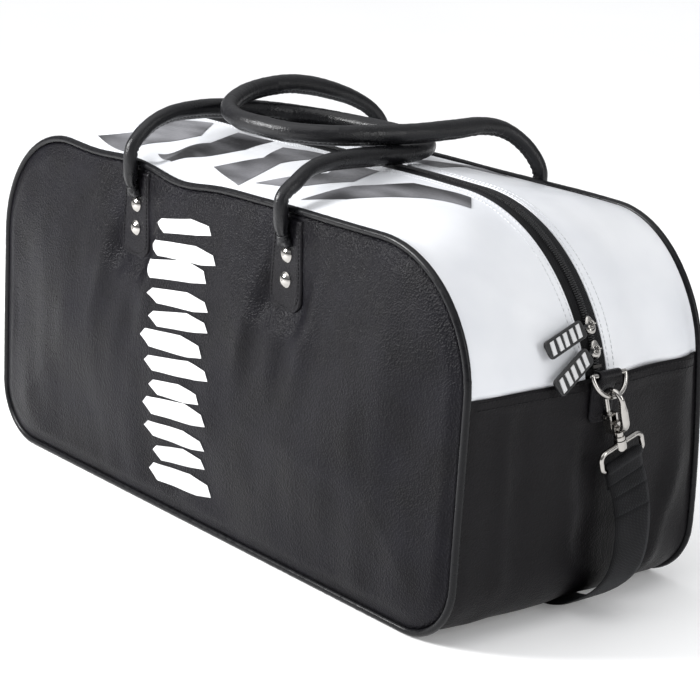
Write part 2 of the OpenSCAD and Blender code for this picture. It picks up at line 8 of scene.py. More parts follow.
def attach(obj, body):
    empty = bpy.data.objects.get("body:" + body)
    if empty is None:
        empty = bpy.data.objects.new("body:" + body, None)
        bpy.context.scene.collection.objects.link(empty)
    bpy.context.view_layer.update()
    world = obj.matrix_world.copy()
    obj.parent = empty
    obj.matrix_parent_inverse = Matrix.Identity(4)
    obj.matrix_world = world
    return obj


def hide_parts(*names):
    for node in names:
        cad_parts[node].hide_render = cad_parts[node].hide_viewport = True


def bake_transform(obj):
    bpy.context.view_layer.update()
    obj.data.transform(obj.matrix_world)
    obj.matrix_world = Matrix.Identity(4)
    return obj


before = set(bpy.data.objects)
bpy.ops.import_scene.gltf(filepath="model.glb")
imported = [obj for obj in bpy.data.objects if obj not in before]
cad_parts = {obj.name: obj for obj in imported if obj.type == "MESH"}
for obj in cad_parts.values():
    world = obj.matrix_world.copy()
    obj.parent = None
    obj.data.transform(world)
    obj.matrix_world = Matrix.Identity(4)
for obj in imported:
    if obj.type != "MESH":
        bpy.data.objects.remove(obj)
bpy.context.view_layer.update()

# All lengths below are in millimetres, in the shared frame, unless a name says otherwise.
MM = 0.001
# the bag, the corners of its side panels and the piping
LEN, DEPTH, HIGH = 650, 270, 310
TOP_R, BASE_R, PIPE_R = 108, 55, 3.25
BORDER_Z = 203        # where the pale top meets the dark base
# how far the crown rises and stands out between the panels, and the zip's end curve
CROWN_TOP, CROWN_END, ZIP_R = 19, 7, 157
SEAM_A, SEAM_TOP, SEAM_BASE = LEN / 2 - PIPE_R, HIGH - PIPE_R, PIPE_R
SEAM_RT, SEAM_RB = TOP_R - PIPE_R, BASE_R - PIPE_R
# centre of the zip's end curve
ARC_X, ARC_Z = SEAM_A + CROWN_END - ZIP_R, SEAM_TOP + CROWN_TOP - ZIP_R
PANEL_IN, PANEL_OUT = 6.7, 1.1     # side panels: edge in from the outline, and out from the piping
RIM = 131.65          # where the pale top and the base end beside the piping
FOOT_X = 106          # handle feet, from the middle of the bag
SLIDERS = {"a": 27.5, "b": 20.6}   # degrees up the end curve of the zip
TAG_OUT, TAG_Y = 7.2, -6.8         # the tags' hinge line, out from the zip and off its middle


def clamp(v, lo=0.0, hi=1.0):
    return max(lo, min(hi, v))


def ease(a, b, v):
    t = clamp((v - a) / (b - a))
    return t * t * (3 - 2 * t)


def bump1(v, centre, width):
    return math.exp(-(((v - centre) / width) ** 2))


def rough(x, y, z, size, seed=0.0):
    return noise.noise(Vector((x / size + seed, y / size - seed, z / size + 2 * seed)))


# ---------------------------------------------------------------- camera

def make_camera():
    cam = bpy.data.cameras.new("camera")
    obj = bpy.data.objects.new("camera", cam)
    bpy.context.scene.collection.objects.link(obj)
    spot = Vector((1383.3, -1173.1, 651.3)) * MM
    aim = Vector((31.8, 0, 151.7)) * MM
    ahead = (aim - spot).normalized()
    side = ahead.cross(Vector((0, 0, 1))).normalized()
    turn = Matrix((side, side.cross(ahead), -ahead)).transposed()
    roll = Matrix.Rotation(math.radians(3.36), 3, "Z")
    obj.matrix_world = Matrix.Translation(spot) @ (turn @ roll).to_4x4()
    cam.sensor_width = 36
    cam.lens = 107.97
    bpy.context.scene.camera = obj


# ---------------------------------------------------------------- node materials

class Mat:
    """A node material with short ways to add textures."""

    def __init__(self, name, color, roughness, metallic=0.0, **sockets):
        self.mat = bpy.data.materials.new(name)
        self.mat.use_nodes = True
        self.tree = self.mat.node_tree
        self.bsdf = self.tree.nodes["Principled BSDF"]
        self.set("Base Color", (*color, 1))
        self.set("Roughness", roughness)
        self.set("Metallic", metallic)
        for key, value in sockets.items():
            self.set(key.replace("_", " "), value)
        self.coord = self.tree.nodes.new("ShaderNodeTexCoord")
        self.mat.diffuse_color = (*color, 1)
        self.height = None

    def set(self, socket, value):
        """A value that is the same all over, on the shader's own socket."""
        self.bsdf.inputs[socket].default_value = value

    def node(self, kind, **values):
        n = self.tree.nodes.new(kind)
        for key, value in values.items():
            if key in n.inputs:
                n.inputs[key].default_value = value
            else:
                setattr(n, key, value)
        return n

    def link(self, a, b):
        self.tree.links.new(a, b)

    def place(self, scale, source="Object"):
        m = self.node("ShaderNodeMapping")
        m.inputs["Scale"].default_value = scale if hasattr(scale, "__len__") else (scale,) * 3
        self.link(self.coord.outputs[source], m.inputs["Vector"])
        return m.outputs["Vector"]

    def noise(self, scale, detail=3, roughness=0.5):
        n = self.node("ShaderNodeTexNoise", Scale=1.0, Detail=detail, Roughness=roughness)
        self.link(self.place(scale), n.inputs["Vector"])
        return n.outputs["Fac"]

    def cells(self, scale):
        n = self.node("ShaderNodeTexVoronoi", Scale=1.0, Randomness=1.0)
        self.link(self.place(scale), n.inputs["Vector"])
        return n.outputs["Distance"]

    def wave(self, scale, direction):
        n = self.node("ShaderNodeTexWave", Scale=1.0, Distortion=0.0, Detail=1.0)
        n.bands_direction = direction
        self.link(self.place(scale, "UV"), n.inputs["Vector"])
        return n.outputs["Fac"]

    def ramp(self, fac, stops):
        n = self.node("ShaderNodeValToRGB")
        while len(n.color_ramp.elements) < len(stops):
            n.color_ramp.elements.new(0.5)
        for e, (at, value) in zip(n.color_ramp.elements, stops):
            e.position = at
            e.color = (*value, 1) if hasattr(value, "__len__") else (value, value, value, 1)
        self.link(fac, n.inputs["Fac"])
        return n.outputs["Color"]

    def math(self, op, a, b):
        n = self.node("ShaderNodeMath", operation=op)
        for i, v in enumerate((a, b)):
            if isinstance(v, (int, float)):
                n.inputs[i].default_value = v
            else:
                self.link(v, n.inputs[i])
        return n.outputs["Value"]

    def bump(self, height, depth, strength=1.0):
        n = self.node("ShaderNodeBump", Distance=depth, Strength=strength)
        self.link(height, n.inputs["Height"])
        if self.height is not None:
            self.link(self.height, n.inputs["Normal"])
        self.height = n.outputs["Normal"]
        self.link(self.height, self.bsdf.inputs["Normal"])

    def drive(self, socket, value):
        self.link(value, self.bsdf.inputs[socket])

    def vary(self, socket, scale, detail, low, high, span=(0.3, 0.7)):
        """Runs a socket from low to high with a noise of this scale and detail."""
        self.drive(socket, self.ramp(self.noise(scale, detail), list(zip(span, (low, high)))))


def leather(name, grain, low, high, rough_low, rough_high,
            grain_depth=0.00035, wrinkle=0.0008, gloss=0.1):
    """Coated cloth with a pressed pebble grain, fine creases and uneven polish."""
    m = Mat(name, low, rough_low, Specular_IOR_Level=gloss)
    patch = m.noise(22, 4, 0.55)
    m.drive("Base Color", m.ramp(patch, [(0.3, low), (0.72, high)]))
    fine = m.noise(420, 3, 0.6)
    mixed = m.math("ADD", m.math("MULTIPLY", patch, 0.7), m.math("MULTIPLY", fine, 0.3))
    m.drive("Roughness", m.ramp(mixed, [(0.3, rough_low), (0.7, rough_high)]))
    m.bump(m.noise((60, 60, 90), 4, 0.65), wrinkle, 0.6)
    pebble = m.math("ADD", m.cells(grain), m.math("MULTIPLY", m.cells(grain * 2.1), 0.45))
    m.bump(pebble, grain_depth, 0.8)
    return m.mat


def metal(name, color, roughness):
    """Bright plated metal: faint ripples, fine scratches and dull spots."""
    m = Mat(name, color, roughness, 1.0)
    m.drive("Roughness", m.ramp(m.noise(240, 4, 0.6), [(0.35, roughness), (0.75, roughness + 0.13)]))
    m.vary("Base Color", 90, 2, [c * 0.86 for c in color], color)
    m.bump(m.noise((900, 900, 260), 3, 0.6), 0.00002, 0.35)
    return m.mat


def webbing(name, color, light):
    """Ribbed webbing: ribs along its length crossed by fine picks."""
    m = Mat(name, color, 0.68, Sheen_Weight=0.08, Sheen_Roughness=0.4, Specular_IOR_Level=0.12)
    m.set("Sheen Tint", (0.6, 0.62, 0.66, 1))
    picks = m.wave((0, 300, 0), "Y")
    ribs = m.wave((190, 0, 0), "X")
    slant = m.wave((260, 260, 0), "DIAGONAL")
    weave = m.math("ADD", m.math("MULTIPLY", picks, 0.45), m.math("MULTIPLY", slant, 0.55))
    worn = m.math("MULTIPLY", weave, m.noise(60, 2))
    m.drive("Base Color", m.ramp(worn, [(0.1, color), (0.55, light)]))
    m.bump(ribs, 0.0004, 0.6)
    m.bump(weave, 0.0003, 0.8)
    return m.mat


def thread(name, color):
    m = Mat(name, color, 0.6, Specular_IOR_Level=0.2)
    m.vary("Base Color", 900, 2, [c * 0.7 for c in color], color)
    m.bump(m.noise(2500, 2), 0.0001, 0.6)
    return m.mat


def pale_cloth():
    m = Mat("pale_coated_cloth", (0.80, 0.81, 0.83), 0.34, Coat_Weight=0.15, Coat_Roughness=0.25)
    m.vary("Base Color", 14, 3, (0.66, 0.675, 0.705), (0.74, 0.75, 0.77))
    m.vary("Roughness", 80, 3, 0.28, 0.42)
    m.bump(m.noise((34, 34, 34), 2, 0.5), 0.0009, 0.35)
    m.bump(m.cells(900), 0.00005, 0.35)
    return m.mat


def piping_gloss():
    m = Mat("piping_gloss", (0.006, 0.006, 0.007), 0.25, Specular_IOR_Level=0.17)
    m.vary("Roughness", 160, 3, 0.22, 0.38)
    m.bump(m.cells(800), 0.00005, 0.5)
    m.bump(m.noise(140, 3), 0.0003, 0.5)
    return m.mat


def dark_print():
    m = Mat("printed_ink", (0.05, 0.05, 0.055), 0.4)
    m.vary("Base Color", (9, 26, 9), 2, (0.018, 0.018, 0.02), (0.22, 0.22, 0.235), (0.36, 0.66))
    m.vary("Roughness", 300, 2, 0.34, 0.48)
    m.bump(m.cells(900), 0.00004, 0.4)
    return m.mat


def white_print():
    m = Mat("white_print", (0.80, 0.81, 0.83), 0.42)
    m.vary("Base Color", 40, 4, (0.50, 0.50, 0.505), (0.60, 0.60, 0.605), (0.3, 0.6))
    m.vary("Roughness", 200, 2, 0.36, 0.55)
    m.bump(m.cells(620), 0.0001, 0.6)
    return m.mat


def moulded(name, color, roughness, scale, detail, polish, grain_scale, *grain):
    """Moulded plastic or rubber with an uneven polish."""
    m = Mat(name, color, roughness)
    m.vary("Roughness", scale, detail, *polish)
    m.bump(m.noise(grain_scale, detail), *grain)
    return m.mat


def lining_cloth():
    m = Mat("lining_cloth", (0.1, 0.105, 0.11), 0.7)
    m.vary("Base Color", 120, 3, (0.08, 0.083, 0.088), (0.13, 0.135, 0.14))
    m.bump(m.cells(900), 0.0001, 0.6)
    return m.mat


def materials():
    tab_low, tab_high = (0.004, 0.0036, 0.0046), (0.007, 0.0066, 0.0088)
    return {
        "panel": leather("panel_leather", 560, (0.0035, 0.0032, 0.0042), (0.0065, 0.0062, 0.0088),
                         0.27, 0.38, 0.0006, gloss=0.085),
        "base": leather("base_leather", 620, (0.0045, 0.004, 0.0046), (0.007, 0.0064, 0.0075),
                        0.36, 0.48, wrinkle=0.001, gloss=0.1),
        "handle": leather("handle_leather", 700, (0.006, 0.006, 0.007), (0.009, 0.009, 0.0105),
                          0.24, 0.38, 0.0002, 0.0008, 0.3),
        "tab": leather("tab_leather", 640, tab_low, tab_high, 0.28, 0.38, 0.0004, gloss=0.12),
        "piping": piping_gloss(),
        "pale": pale_cloth(),
        "ink": dark_print(),
        "white": white_print(),
        "black_thread": thread("thread_black", (0.008, 0.008, 0.009)),
        "white_thread": thread("thread_white", (0.76, 0.77, 0.79)),
        "webbing": webbing("strap_webbing", (0.0035, 0.0035, 0.004), (0.013, 0.013, 0.0145)),
        "tape": webbing("zip_tape", (0.004, 0.004, 0.0045), (0.013, 0.013, 0.014)),
        "coil": moulded("zip_coil", (0.008, 0.008, 0.009), 0.26, 500, 2, (0.24, 0.42), 1500, 0.00005, 0.4),
        "metal": metal("plated_metal", (0.42, 0.405, 0.385), 0.09),
        "tag": moulded("tag_rubber", (0.01, 0.01, 0.011), 0.42, 300, 3, (0.34, 0.52), 700, 0.00008, 0.5),
        "lining": lining_cloth(),
    }


# ---------------------------------------------------------------- mesh helpers

def piece(name, verts, faces, mat, uvs=None, closed=True):
    """An object from millimetre points. Faces of up to 4 corners are smooth, end caps are flat."""
    mesh = bpy.data.meshes.new(name)
    mesh.from_pydata([[c * MM for c in v] for v in verts], [], faces)
    mesh.validate()
    if uvs:
        layer = mesh.uv_layers.new(name="UVMap")
        for loop in mesh.loops:
            layer.data[loop.index].uv = [c * MM for c in uvs[loop.vertex_index]]
    if closed:
        bm = bmesh.new()
        bm.from_mesh(mesh)
        bmesh.ops.recalc_face_normals(bm, faces=bm.faces[:])
        bm.to_mesh(mesh)
        bm.free()
    mesh.polygons.foreach_set("use_smooth", [len(p.vertices) <= 4 for p in mesh.polygons])
    mesh.update()
    obj = bpy.data.objects.new(name, mesh)
    bpy.context.scene.collection.objects.link(obj)
    obj.data.materials.append(mat)
    return obj


def on(obj, body="bag", slot=None, *nodes):
    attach(obj, body)
    if nodes:
        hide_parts(*nodes)
    return obj


def shell(outer, inner):
    """Closed solid from two grids of the same size: outer points, then inner points."""
    rows, cols = len(outer), len(outer[0])
    verts = [p for grid in (outer, inner) for row in grid for p in row]

    def at(r, c, k=0):
        return (k * rows + r) * cols + c

    faces = []
    for r in range(rows - 1):
        for c in range(cols - 1):
            faces.append((at(r, c), at(r + 1, c), at(r + 1, c + 1), at(r, c + 1)))
            faces.append((at(r, c, 1), at(r, c + 1, 1), at(r + 1, c + 1, 1), at(r + 1, c, 1)))
    r, c = rows - 1, cols - 1
    for i in range(c):
        faces.append((at(0, i), at(0, i + 1), at(0, i + 1, 1), at(0, i, 1)))
        faces.append((at(r, i + 1), at(r, i), at(r, i, 1), at(r, i + 1, 1)))
    for i in range(r):
        faces.append((at(i + 1, 0), at(i, 0), at(i, 0, 1), at(i + 1, 0, 1)))
        faces.append((at(i, c), at(i + 1, c), at(i + 1, c, 1), at(i, c, 1)))
    return verts, faces


def ring_faces(rings, sides, base=0, closed=False):
    """Quads between rings of points, and a cap at each end unless the last ring meets the first."""
    faces = []
    for i in range(rings if closed else rings - 1):
        a, b = base + i * sides, base + (i + 1) % rings * sides
        for k in range(sides):
            l = (k + 1) % sides
            faces.append((a + k, a + l, b + l, b + k))
    if not closed:
        last = base + (rings - 1) * sides
        faces += [tuple(range(base + sides - 1, base - 1, -1)), tuple(range(last, last + sides))]
    return faces


def circle(radius, count):
    return [Vector((radius * math.cos(a), radius * math.sin(a), 0))
            for a in (2 * math.pi * i / count for i in range(count))]


def arc(radius, start, turn, count, middle=0.0):
    """Flat points (x, z) round (0, middle), count steps from start through turn degrees."""
    return [(radius * math.cos(a), middle + radius * math.sin(a))
            for a in (math.radians(start + turn * i / count) for i in range(count + 1))]


def frames(path, first=Vector((1, 0, 0))):
    """A direction and two sideways vectors at each point, carried along the path."""
    out, side = [], first
    for i in range(len(path)):
        d = (path[min(i + 1, len(path) - 1)] - path[max(i - 1, 0)]).normalized()
        side = (side - side.dot(d) * d).normalized()
        out.append((d, side, d.cross(side)))
    return out


def tube(path, radius, sides=16, closed=False, first=Vector((1, 0, 0)), shape=None):
    """A swept tube. radius is a number or f(i); shape(i, angle) scales it round the ring."""
    path = [Vector(p) for p in path]
    verts = []
    for i, (p, (d, s, t)) in enumerate(zip(path, frames(path, first))):
        r = radius(i) if callable(radius) else radius
        for k in range(sides):
            a = 2 * math.pi * k / sides
            m = shape(i, a) if shape else 1
            verts.append(p + r * m * (math.cos(a) * s + math.sin(a) * t))
    return verts, ring_faces(len(path), sides, closed=closed)


def spline(points, step):
    """Catmull-Rom through the points, then resampled at an even step."""
    pts = [Vector(p) for p in points]
    dense = []
    for i in range(len(pts) - 1):
        a, b, c, d = pts[max(i - 1, 0)], pts[i], pts[i + 1], pts[min(i + 2, len(pts) - 1)]
        for k in range(16):
            t = k / 16
            dense.append(0.5 * (2 * b + (c - a) * t + (2 * a - 5 * b + 4 * c - d) * t * t
                                + (3 * b - a - 3 * c + d) * t ** 3))
    dense.append(pts[-1])
    return even(dense, step)


def even(dense, step):
    """The same line with its points as near to this step apart as divides it evenly."""
    total = sum((b - a).length for a, b in zip(dense, dense[1:]))
    count = max(2, round(total / step))
    out, walked, want, i = [dense[0]], 0.0, total / count, 0
    while len(out) < count:
        seg = (dense[i + 1] - dense[i]).length
        if walked + seg >= want - 1e-9:
            t = (want - walked) / seg
            out.append(dense[i].lerp(dense[i + 1], t))
            want += total / count
        else:
            walked += seg
            i += 1
    out.append(dense[-1])
    return out


def along(points, outs):
    """A function from a distance along a line to the point there and its outward way."""
    dist = distances(points)

    def at(s):
        lo, hi = 0, len(dist) - 2
        while lo < hi:
            i = (lo + hi + 1) // 2
            if dist[i] <= s:
                lo = i
            else:
                hi = i - 1
        t = clamp((s - dist[lo]) / max(dist[lo + 1] - dist[lo], 1e-9))
        return points[lo].lerp(points[lo + 1], t), outs[lo].lerp(outs[lo + 1], t).normalized()

    return at, dist[-1]


def distances(points):
    dist = [0.0]
    for a, b in zip(points, points[1:]):
        dist.append(dist[-1] + (b - a).length)
    return dist


def stitches(name, rows, mat, pitch=4.2, length=3.1, r=0.38, body="bag"):
    """Rows of raised thread. Each row is a list of (point, outward) pairs."""
    lift = 0.15
    # along each stitch: how far, how thick and how high
    loop = ((0, 0.35, -0.35), (0.2, 1, 0.1), (0.5, 1, 0.22), (0.8, 1, 0.1), (1, 0.35, -0.35))
    sides = 6
    verts, faces = [], []
    for row in rows:
        at, total = along([Vector(p) for p, _ in row], [Vector(o).normalized() for _, o in row])
        s = pitch / 2
        while s + length < total:
            faces += ring_faces(len(loop), sides, len(verts))
            for f, size, up in loop:
                p, o = at(s + f * length)
                q, _ = at(s + f * length + 0.3)
                d = (q - p).normalized() if (q - p).length > 1e-6 else Vector((1, 0, 0))
                w = d.cross(o).normalized()
                for k in range(sides):
                    a = 2 * math.pi * k / sides
                    verts.append(p + o * (lift + up * r) + size * r * (math.cos(a) * w + math.sin(a) * o))
            s += pitch
    return on(piece(name, verts, faces, mat), body)


# ---------------------------------------------------------------- the soft shape of the bag

def soft(x, y, z):
    """Moves a point of the stiff drawing to where the soft bag holds it."""
    end, rear = ease(150, 330, abs(x)), ease(20, 135, y)
    # the rear corners slump inwards
    dx = -math.copysign(15, x) * end * rear * ease(60, 300, z)
    dz = -4 * end * rear * ease(200, 300, z)
    # the top edge sags either side of the left foot, and its cloth with it
    near = ease(-40, -134, y) * ease(255, 305, z)
    dz -= near * (8 * bump1(x, -45, 45) + 3 * bump1(x, -175, 40))
    dz -= near * 2 * bump1(x, 60, 50)
    dz += 1.3 * rough(x, y, z, 85, 3) * ease(120, 280, z)
    dx += 1.5 * rough(x, y, z, 90, 7) * ease(120, 300, abs(x)) * ease(40, 200, z)
    return x + dx, y, z + dz


def crown(y):
    """How much of the crown there is at this depth: 1 in the middle, 0 at the panels."""
    return 1 - (y / RIM) ** 2


def corner(k):
    """Centre x, centre z and radius of the top corner, for crown k."""
    r = SEAM_RT + (ZIP_R - SEAM_RT) * k
    return SEAM_A + CROWN_END * k - r, SEAM_TOP + CROWN_TOP * k - r, r


def outline_point(k, kind, t):
    """Right half of the outline for crown k: x, z and the outward angle. kind: arc, below or base."""
    cx, cz, r = corner(k)
    cut = math.asin((BORDER_Z - cz) / r)
    if kind == "base":
        b = -math.pi / 2 * t
        cx, cz, r = SEAM_A + CROWN_END * k - SEAM_RB, SEAM_BASE + SEAM_RB, SEAM_RB
    else:
        b = cut + (math.pi / 2 - cut) * t if kind == "arc" else cut * (1 - t)
    return cx + r * math.cos(b), cz + r * math.sin(b), b


def pushed(x, y, z, b, h, side=1):
    """A point of the outline moved out by h along its angle b, then softened."""
    return soft(side * (x + h * math.cos(b)), y, z + h * math.sin(b))


def top_line(k):
    """From the right border over the top to the left border: (x, z, angle), evenly dense."""
    half = [outline_point(k, "arc", i / 40) for i in range(41)]
    x0, z0, _ = half[-1]
    flat = [(x0 * (1 - i / 36), z0, math.pi / 2) for i in range(1, 37)]
    right = half + flat
    return right + [(-x, z, math.pi - b) for x, z, b in reversed(right[:-1])]


def base_line(k):
    """From the right border down under the bag to the left border."""
    below = [outline_point(k, "below", i / 8) for i in range(9)]
    x0, z0, _ = below[-1]
    bx, bz, _ = outline_point(k, "base", 0)
    side = [(x0, z0 + (bz - z0) * i / 14, 0.0) for i in range(1, 15)]
    arc = [outline_point(k, "base", i / 14) for i in range(1, 15)]
    ex, ez, _ = arc[-1]
    flat = [(ex * (1 - i / 22), ez, -math.pi / 2) for i in range(1, 23)]
    right = below + side + arc + flat
    return right + [(-x, z, -math.pi - b) for x, z, b in reversed(right[:-1])]


def end_creases(x, y, z):
    """Outward push on the base cloth at the ends: soft folds and dents."""
    if abs(x) < 200:
        return 0
    h = 0.9 * ease(BORDER_Z - 14, BORDER_Z - 11, z)
    # dent with a ridge below the loop tab
    h -= 2.4 * bump1(y, -8 - 0.05 * (z - 150), 11) * ease(40, 90, z) * ease(200, 160, z)
    h += 1.8 * bump1(y, -24 - 0.1 * (z - 120), 9) * ease(30, 80, z) * ease(190, 130, z)
    # folds running down to the rear corner
    h += 2.6 * bump1(y - 0.22 * (z - 60), 92, 9) * ease(10, 40, z) * ease(150, 90, z)
    h -= 2.2 * bump1(y - 0.22 * (z - 60), 74, 9) * ease(10, 40, z) * ease(150, 90, z)
    h -= 1.6 * bump1(z + 0.12 * y, 62, 14) * ease(-110, -40, y)
    h += 1.6 * rough(x, y, z, 55, 11) + 0.9 * rough(x, y, z, 24, 5)
    h += 5.0 * bump1(y, 106, 22) * ease(60, 110, z)
    # upright ridge behind the front edge
    h += 2.6 * bump1(y + 0.04 * (z - 120), -92, 8) * ease(30, 70, z) * ease(196, 170, z)
    h -= 2.0 * bump1(y + 0.04 * (z - 120), -75, 9) * ease(30, 70, z) * ease(196, 170, z)
    return h * ease(0, 10, RIM - abs(y))


def top_folds(x, y, z):
    """Outward push on the pale cloth: broad puffs, and the fold beside the left foot."""
    h = 1.6 * rough(x, y, z, 95, 2) + 0.8 * rough(x, y, z, 38, 9)
    h += 2.2 * bump1(x + 0.3 * (y + 100), -150, 16) * bump1(y, -95, 26)
    h -= 5.5 * bump1(x + 0.3 * (y + 100), -112, 15) * bump1(y, -104, 26)
    h += 3.0 * bump1(x + 0.3 * (y + 100), -84, 14) * bump1(y, -100, 24)
    h += 5.0 * bump1(y, 106, 22) * ease(255, 320, abs(x)) * ease(285, 240, z)
    h += 1.6 * bump1(0.6 * (y + 60) + (z - 262), 0, 8) * ease(240, 300, x) * ease(-20, -50, y)
    h += 1.5 * bump1(x, 235, 30) * bump1(y, -75, 30)
    h -= 1.4 * bump1(y, 62, 18) * ease(170, 290, abs(x))
    return h * ease(0, 14, RIM - abs(y)) * ease(0, 12, abs(y) - 12)


def depth_steps(lo, hi, count):
    return [lo + (hi - lo) * (0.5 - 0.5 * math.cos(math.pi * i / count)) for i in range(count + 1)]


def cloth_strip(name, line_fn, push, ys, thick, mat):
    grids = []
    for deeper in (0, thick):
        grids.append([[pushed(x, y, z, b, push(x, y, z) - deeper) for x, z, b in line_fn(crown(y))]
                      for y in ys])
    return piece(name, *shell(*grids), mat)


def bulge(x, z):
    """How far a side panel stands out from its seam plane."""
    a, b = LEN / 2 - 6, HIGH / 2 - 6
    # distance in from the rounded outline
    qx, qz = abs(x), abs(z - HIGH / 2)
    r = TOP_R - 6 if z > HIGH / 2 else BASE_R - 6
    if qx > a - r and qz > b - r:
        inside = r - math.hypot(qx - (a - r), qz - (b - r))
    else:
        inside = min(a - qx, b - qz)
    h = 4.2 * ease(0, 16, inside) + 8.0 * ease(5, 115, inside)
    # the handle tabs hold the cloth back
    for s in (-1, 1):
        h *= 1 - 0.96 * math.exp(-((abs(x - s * FOOT_X) / 34) ** 4)) * ease(200, 232, z)
    h += ease(0, 25, inside) * (2.6 * rough(x, 0, z, 95, 4) + 1.3 * rough(x * 1.4, 0, z * 0.7, 40, 8))
    # pulls running down from the tabs
    for s in (-1, 1):
        lean = x - s * FOOT_X + 0.25 * (225 - z)
        left = 2.4 * (bump1(lean, -34, 9) - bump1(lean, -15, 10)) * ease(130, 205, z)
        right = 2.0 * (bump1(lean, 40, 11) - bump1(lean, 22, 9)) * ease(120, 200, z)
        h += (left + right) * ease(3, 20, inside) * ease(300, 240, z)
    h += ease(4, 20, inside) * 0.8 * bump1(z + 0.06 * x, 120, 9) * ease(20, 160, x) * ease(320, 230, x)
    return h


def rounded_outline(inset, count):
    """Corner points of the side view's outline, moved in by inset, anticlockwise from low right."""
    a, top, low = LEN / 2 - inset, HIGH - inset, inset
    rt, rb = TOP_R - inset, BASE_R - inset
    pts = []
    for cx, cz, r, start in ((a - rb, low + rb, rb, -90), (a - rt, top - rt, rt, 0),
                             (rt - a, top - rt, rt, 90), (rb - a, low + rb, rb, 180)):
        for i in range(count + 1):
            b = math.radians(start + 90 * i / count)
            pts.append(Vector((cx + r * math.cos(b), 0, cz + r * math.sin(b))))
    return pts + pts[:1]


def panel_grid(side):
    """Rings of points from the outline in to a middle line."""
    around, rings, mid_z, mid_x = 300, 46, 160, 205
    edge = rounded_outline(PANEL_IN, 24)
    edge = even(edge, distances(edge)[-1] / around)[:-1]
    rows = []
    for j in range(rings + 1):
        f = j / rings
        row = []
        for p in edge:
            x = p.x + (clamp(p.x * 0.75, -mid_x, mid_x) - p.x) * f
            row.append(panel_point(side, x, p.z + (mid_z - p.z) * f))
        rows.append(row)
    return rows


def side_panel(name, side, mat):
    rows = panel_grid(side)
    n = len(rows[0])
    verts = [p for row in rows for p in row]
    back = len(verts)
    verts += [(x, y - side * 2.2, z) for x, y, z in verts]
    faces = []
    for j in range(len(rows) - 1):
        for i in range(n):
            k = (i + 1) % n
            f = (j * n + i, j * n + k, (j + 1) * n + k, (j + 1) * n + i)
            faces += [f, tuple(back + v for v in f[::-1])]
    faces += [(i, back + i, back + (i + 1) % n, (i + 1) % n) for i in range(n)]
    return piece(name, verts, faces, mat)


def panel_point(side, x, z, lift=0.0):
    return soft(x, side * (DEPTH / 2 + PANEL_OUT + bulge(x, z) + lift), z)


def piping(name, side, mat):
    path = [Vector(soft(p.x, side * DEPTH / 2, p.z)) for p in even(rounded_outline(PIPE_R, 20), 4)[:-1]]
    verts, faces = tube(path, lambda i: PIPE_R * (0.96 + 0.06 * noise.noise(Vector((i * 0.7, side, 0)))),
                        14, closed=True, first=Vector((0, 1, 0)))
    return piece(name, verts, faces, mat)


def flat_decal(name, polygons, to_surface, mat, grid=5.0):
    """Thin print: polygons drawn flat, cut into a grid, then laid on a surface."""
    bm = bmesh.new()
    for poly in polygons:
        bm.faces.new([bm.verts.new((x, y, 0)) for x, y in poly])
    xs = [v.co.x for v in bm.verts]
    ys = [v.co.y for v in bm.verts]
    for axis, lo, hi in ((0, min(xs), max(xs)), (1, min(ys), max(ys))):
        v = lo + grid
        while v < hi:
            spot, way = [0, 0, 0], [0, 0, 0]
            spot[axis], way[axis] = v, 1
            bmesh.ops.bisect_plane(bm, geom=bm.verts[:] + bm.edges[:] + bm.faces[:],
                                   plane_co=spot, plane_no=way)
            v += grid
    bm.verts.ensure_lookup_table()
    bm.normal_update()
    for f in bm.faces:
        if f.normal.z < 0:
            f.normal_flip()
    verts = [to_surface(v.co.x, v.co.y) for v in bm.verts]
    faces = [[v.index for v in f.verts] for f in bm.faces]
    bm.free()
    return piece(name, verts, faces, mat, closed=False)


# ---------------------------------------------------------------- strap

STRAP_W, HOOK_ROLL = 40.0, 18      # width, and how far the clip hangs off upright, in degrees
RING_LEAN, HOOK_TILT = math.radians(22.9), math.radians(HOOK_ROLL)
RING_X, RING_Y, RING_Z, RING_DROP = 335, 3, 208, 18    # bar of the right D ring, and down to its low point
RING_LOW = Vector((RING_X + RING_DROP * math.sin(RING_LEAN), RING_Y,
                   RING_Z - RING_DROP * math.cos(RING_LEAN)))
DOWN = Vector((0, math.sin(HOOK_TILT), -math.cos(HOOK_TILT)))
# the fold of the strap in the swivel eye, then points listed down the end and under the bag to its middle
STRAP_START = RING_LOW + 71.3 * DOWN
STRAP_HALF = [
    STRAP_START, (345, 27, 114), (349, 27, 102), (353, 26, 90), (355, 25, 76), (355, 24, 62),
    (352, 23, 48), (346, 22, 37), (337, 22, 27), (327, 22, 19), (316, 22, 11.5), (305, 22, 5.5),
    (293, 22, 2), (280, 22, 1.3), (200, 22, 1.3), (100, 22, 1.3), (0, 22, 1.3),
]


def strap_line():
    """(point, roll) every few millimetres from the right fold to the left one."""
    half = STRAP_HALF + [(-x, y, z) for x, y, z in reversed(STRAP_HALF[:-1])]
    pts = spline(half, 4)
    low = 50
    return pts, [HOOK_ROLL * clamp((p.z - low) / (STRAP_START.z - low)) ** 1.3 for p in pts]


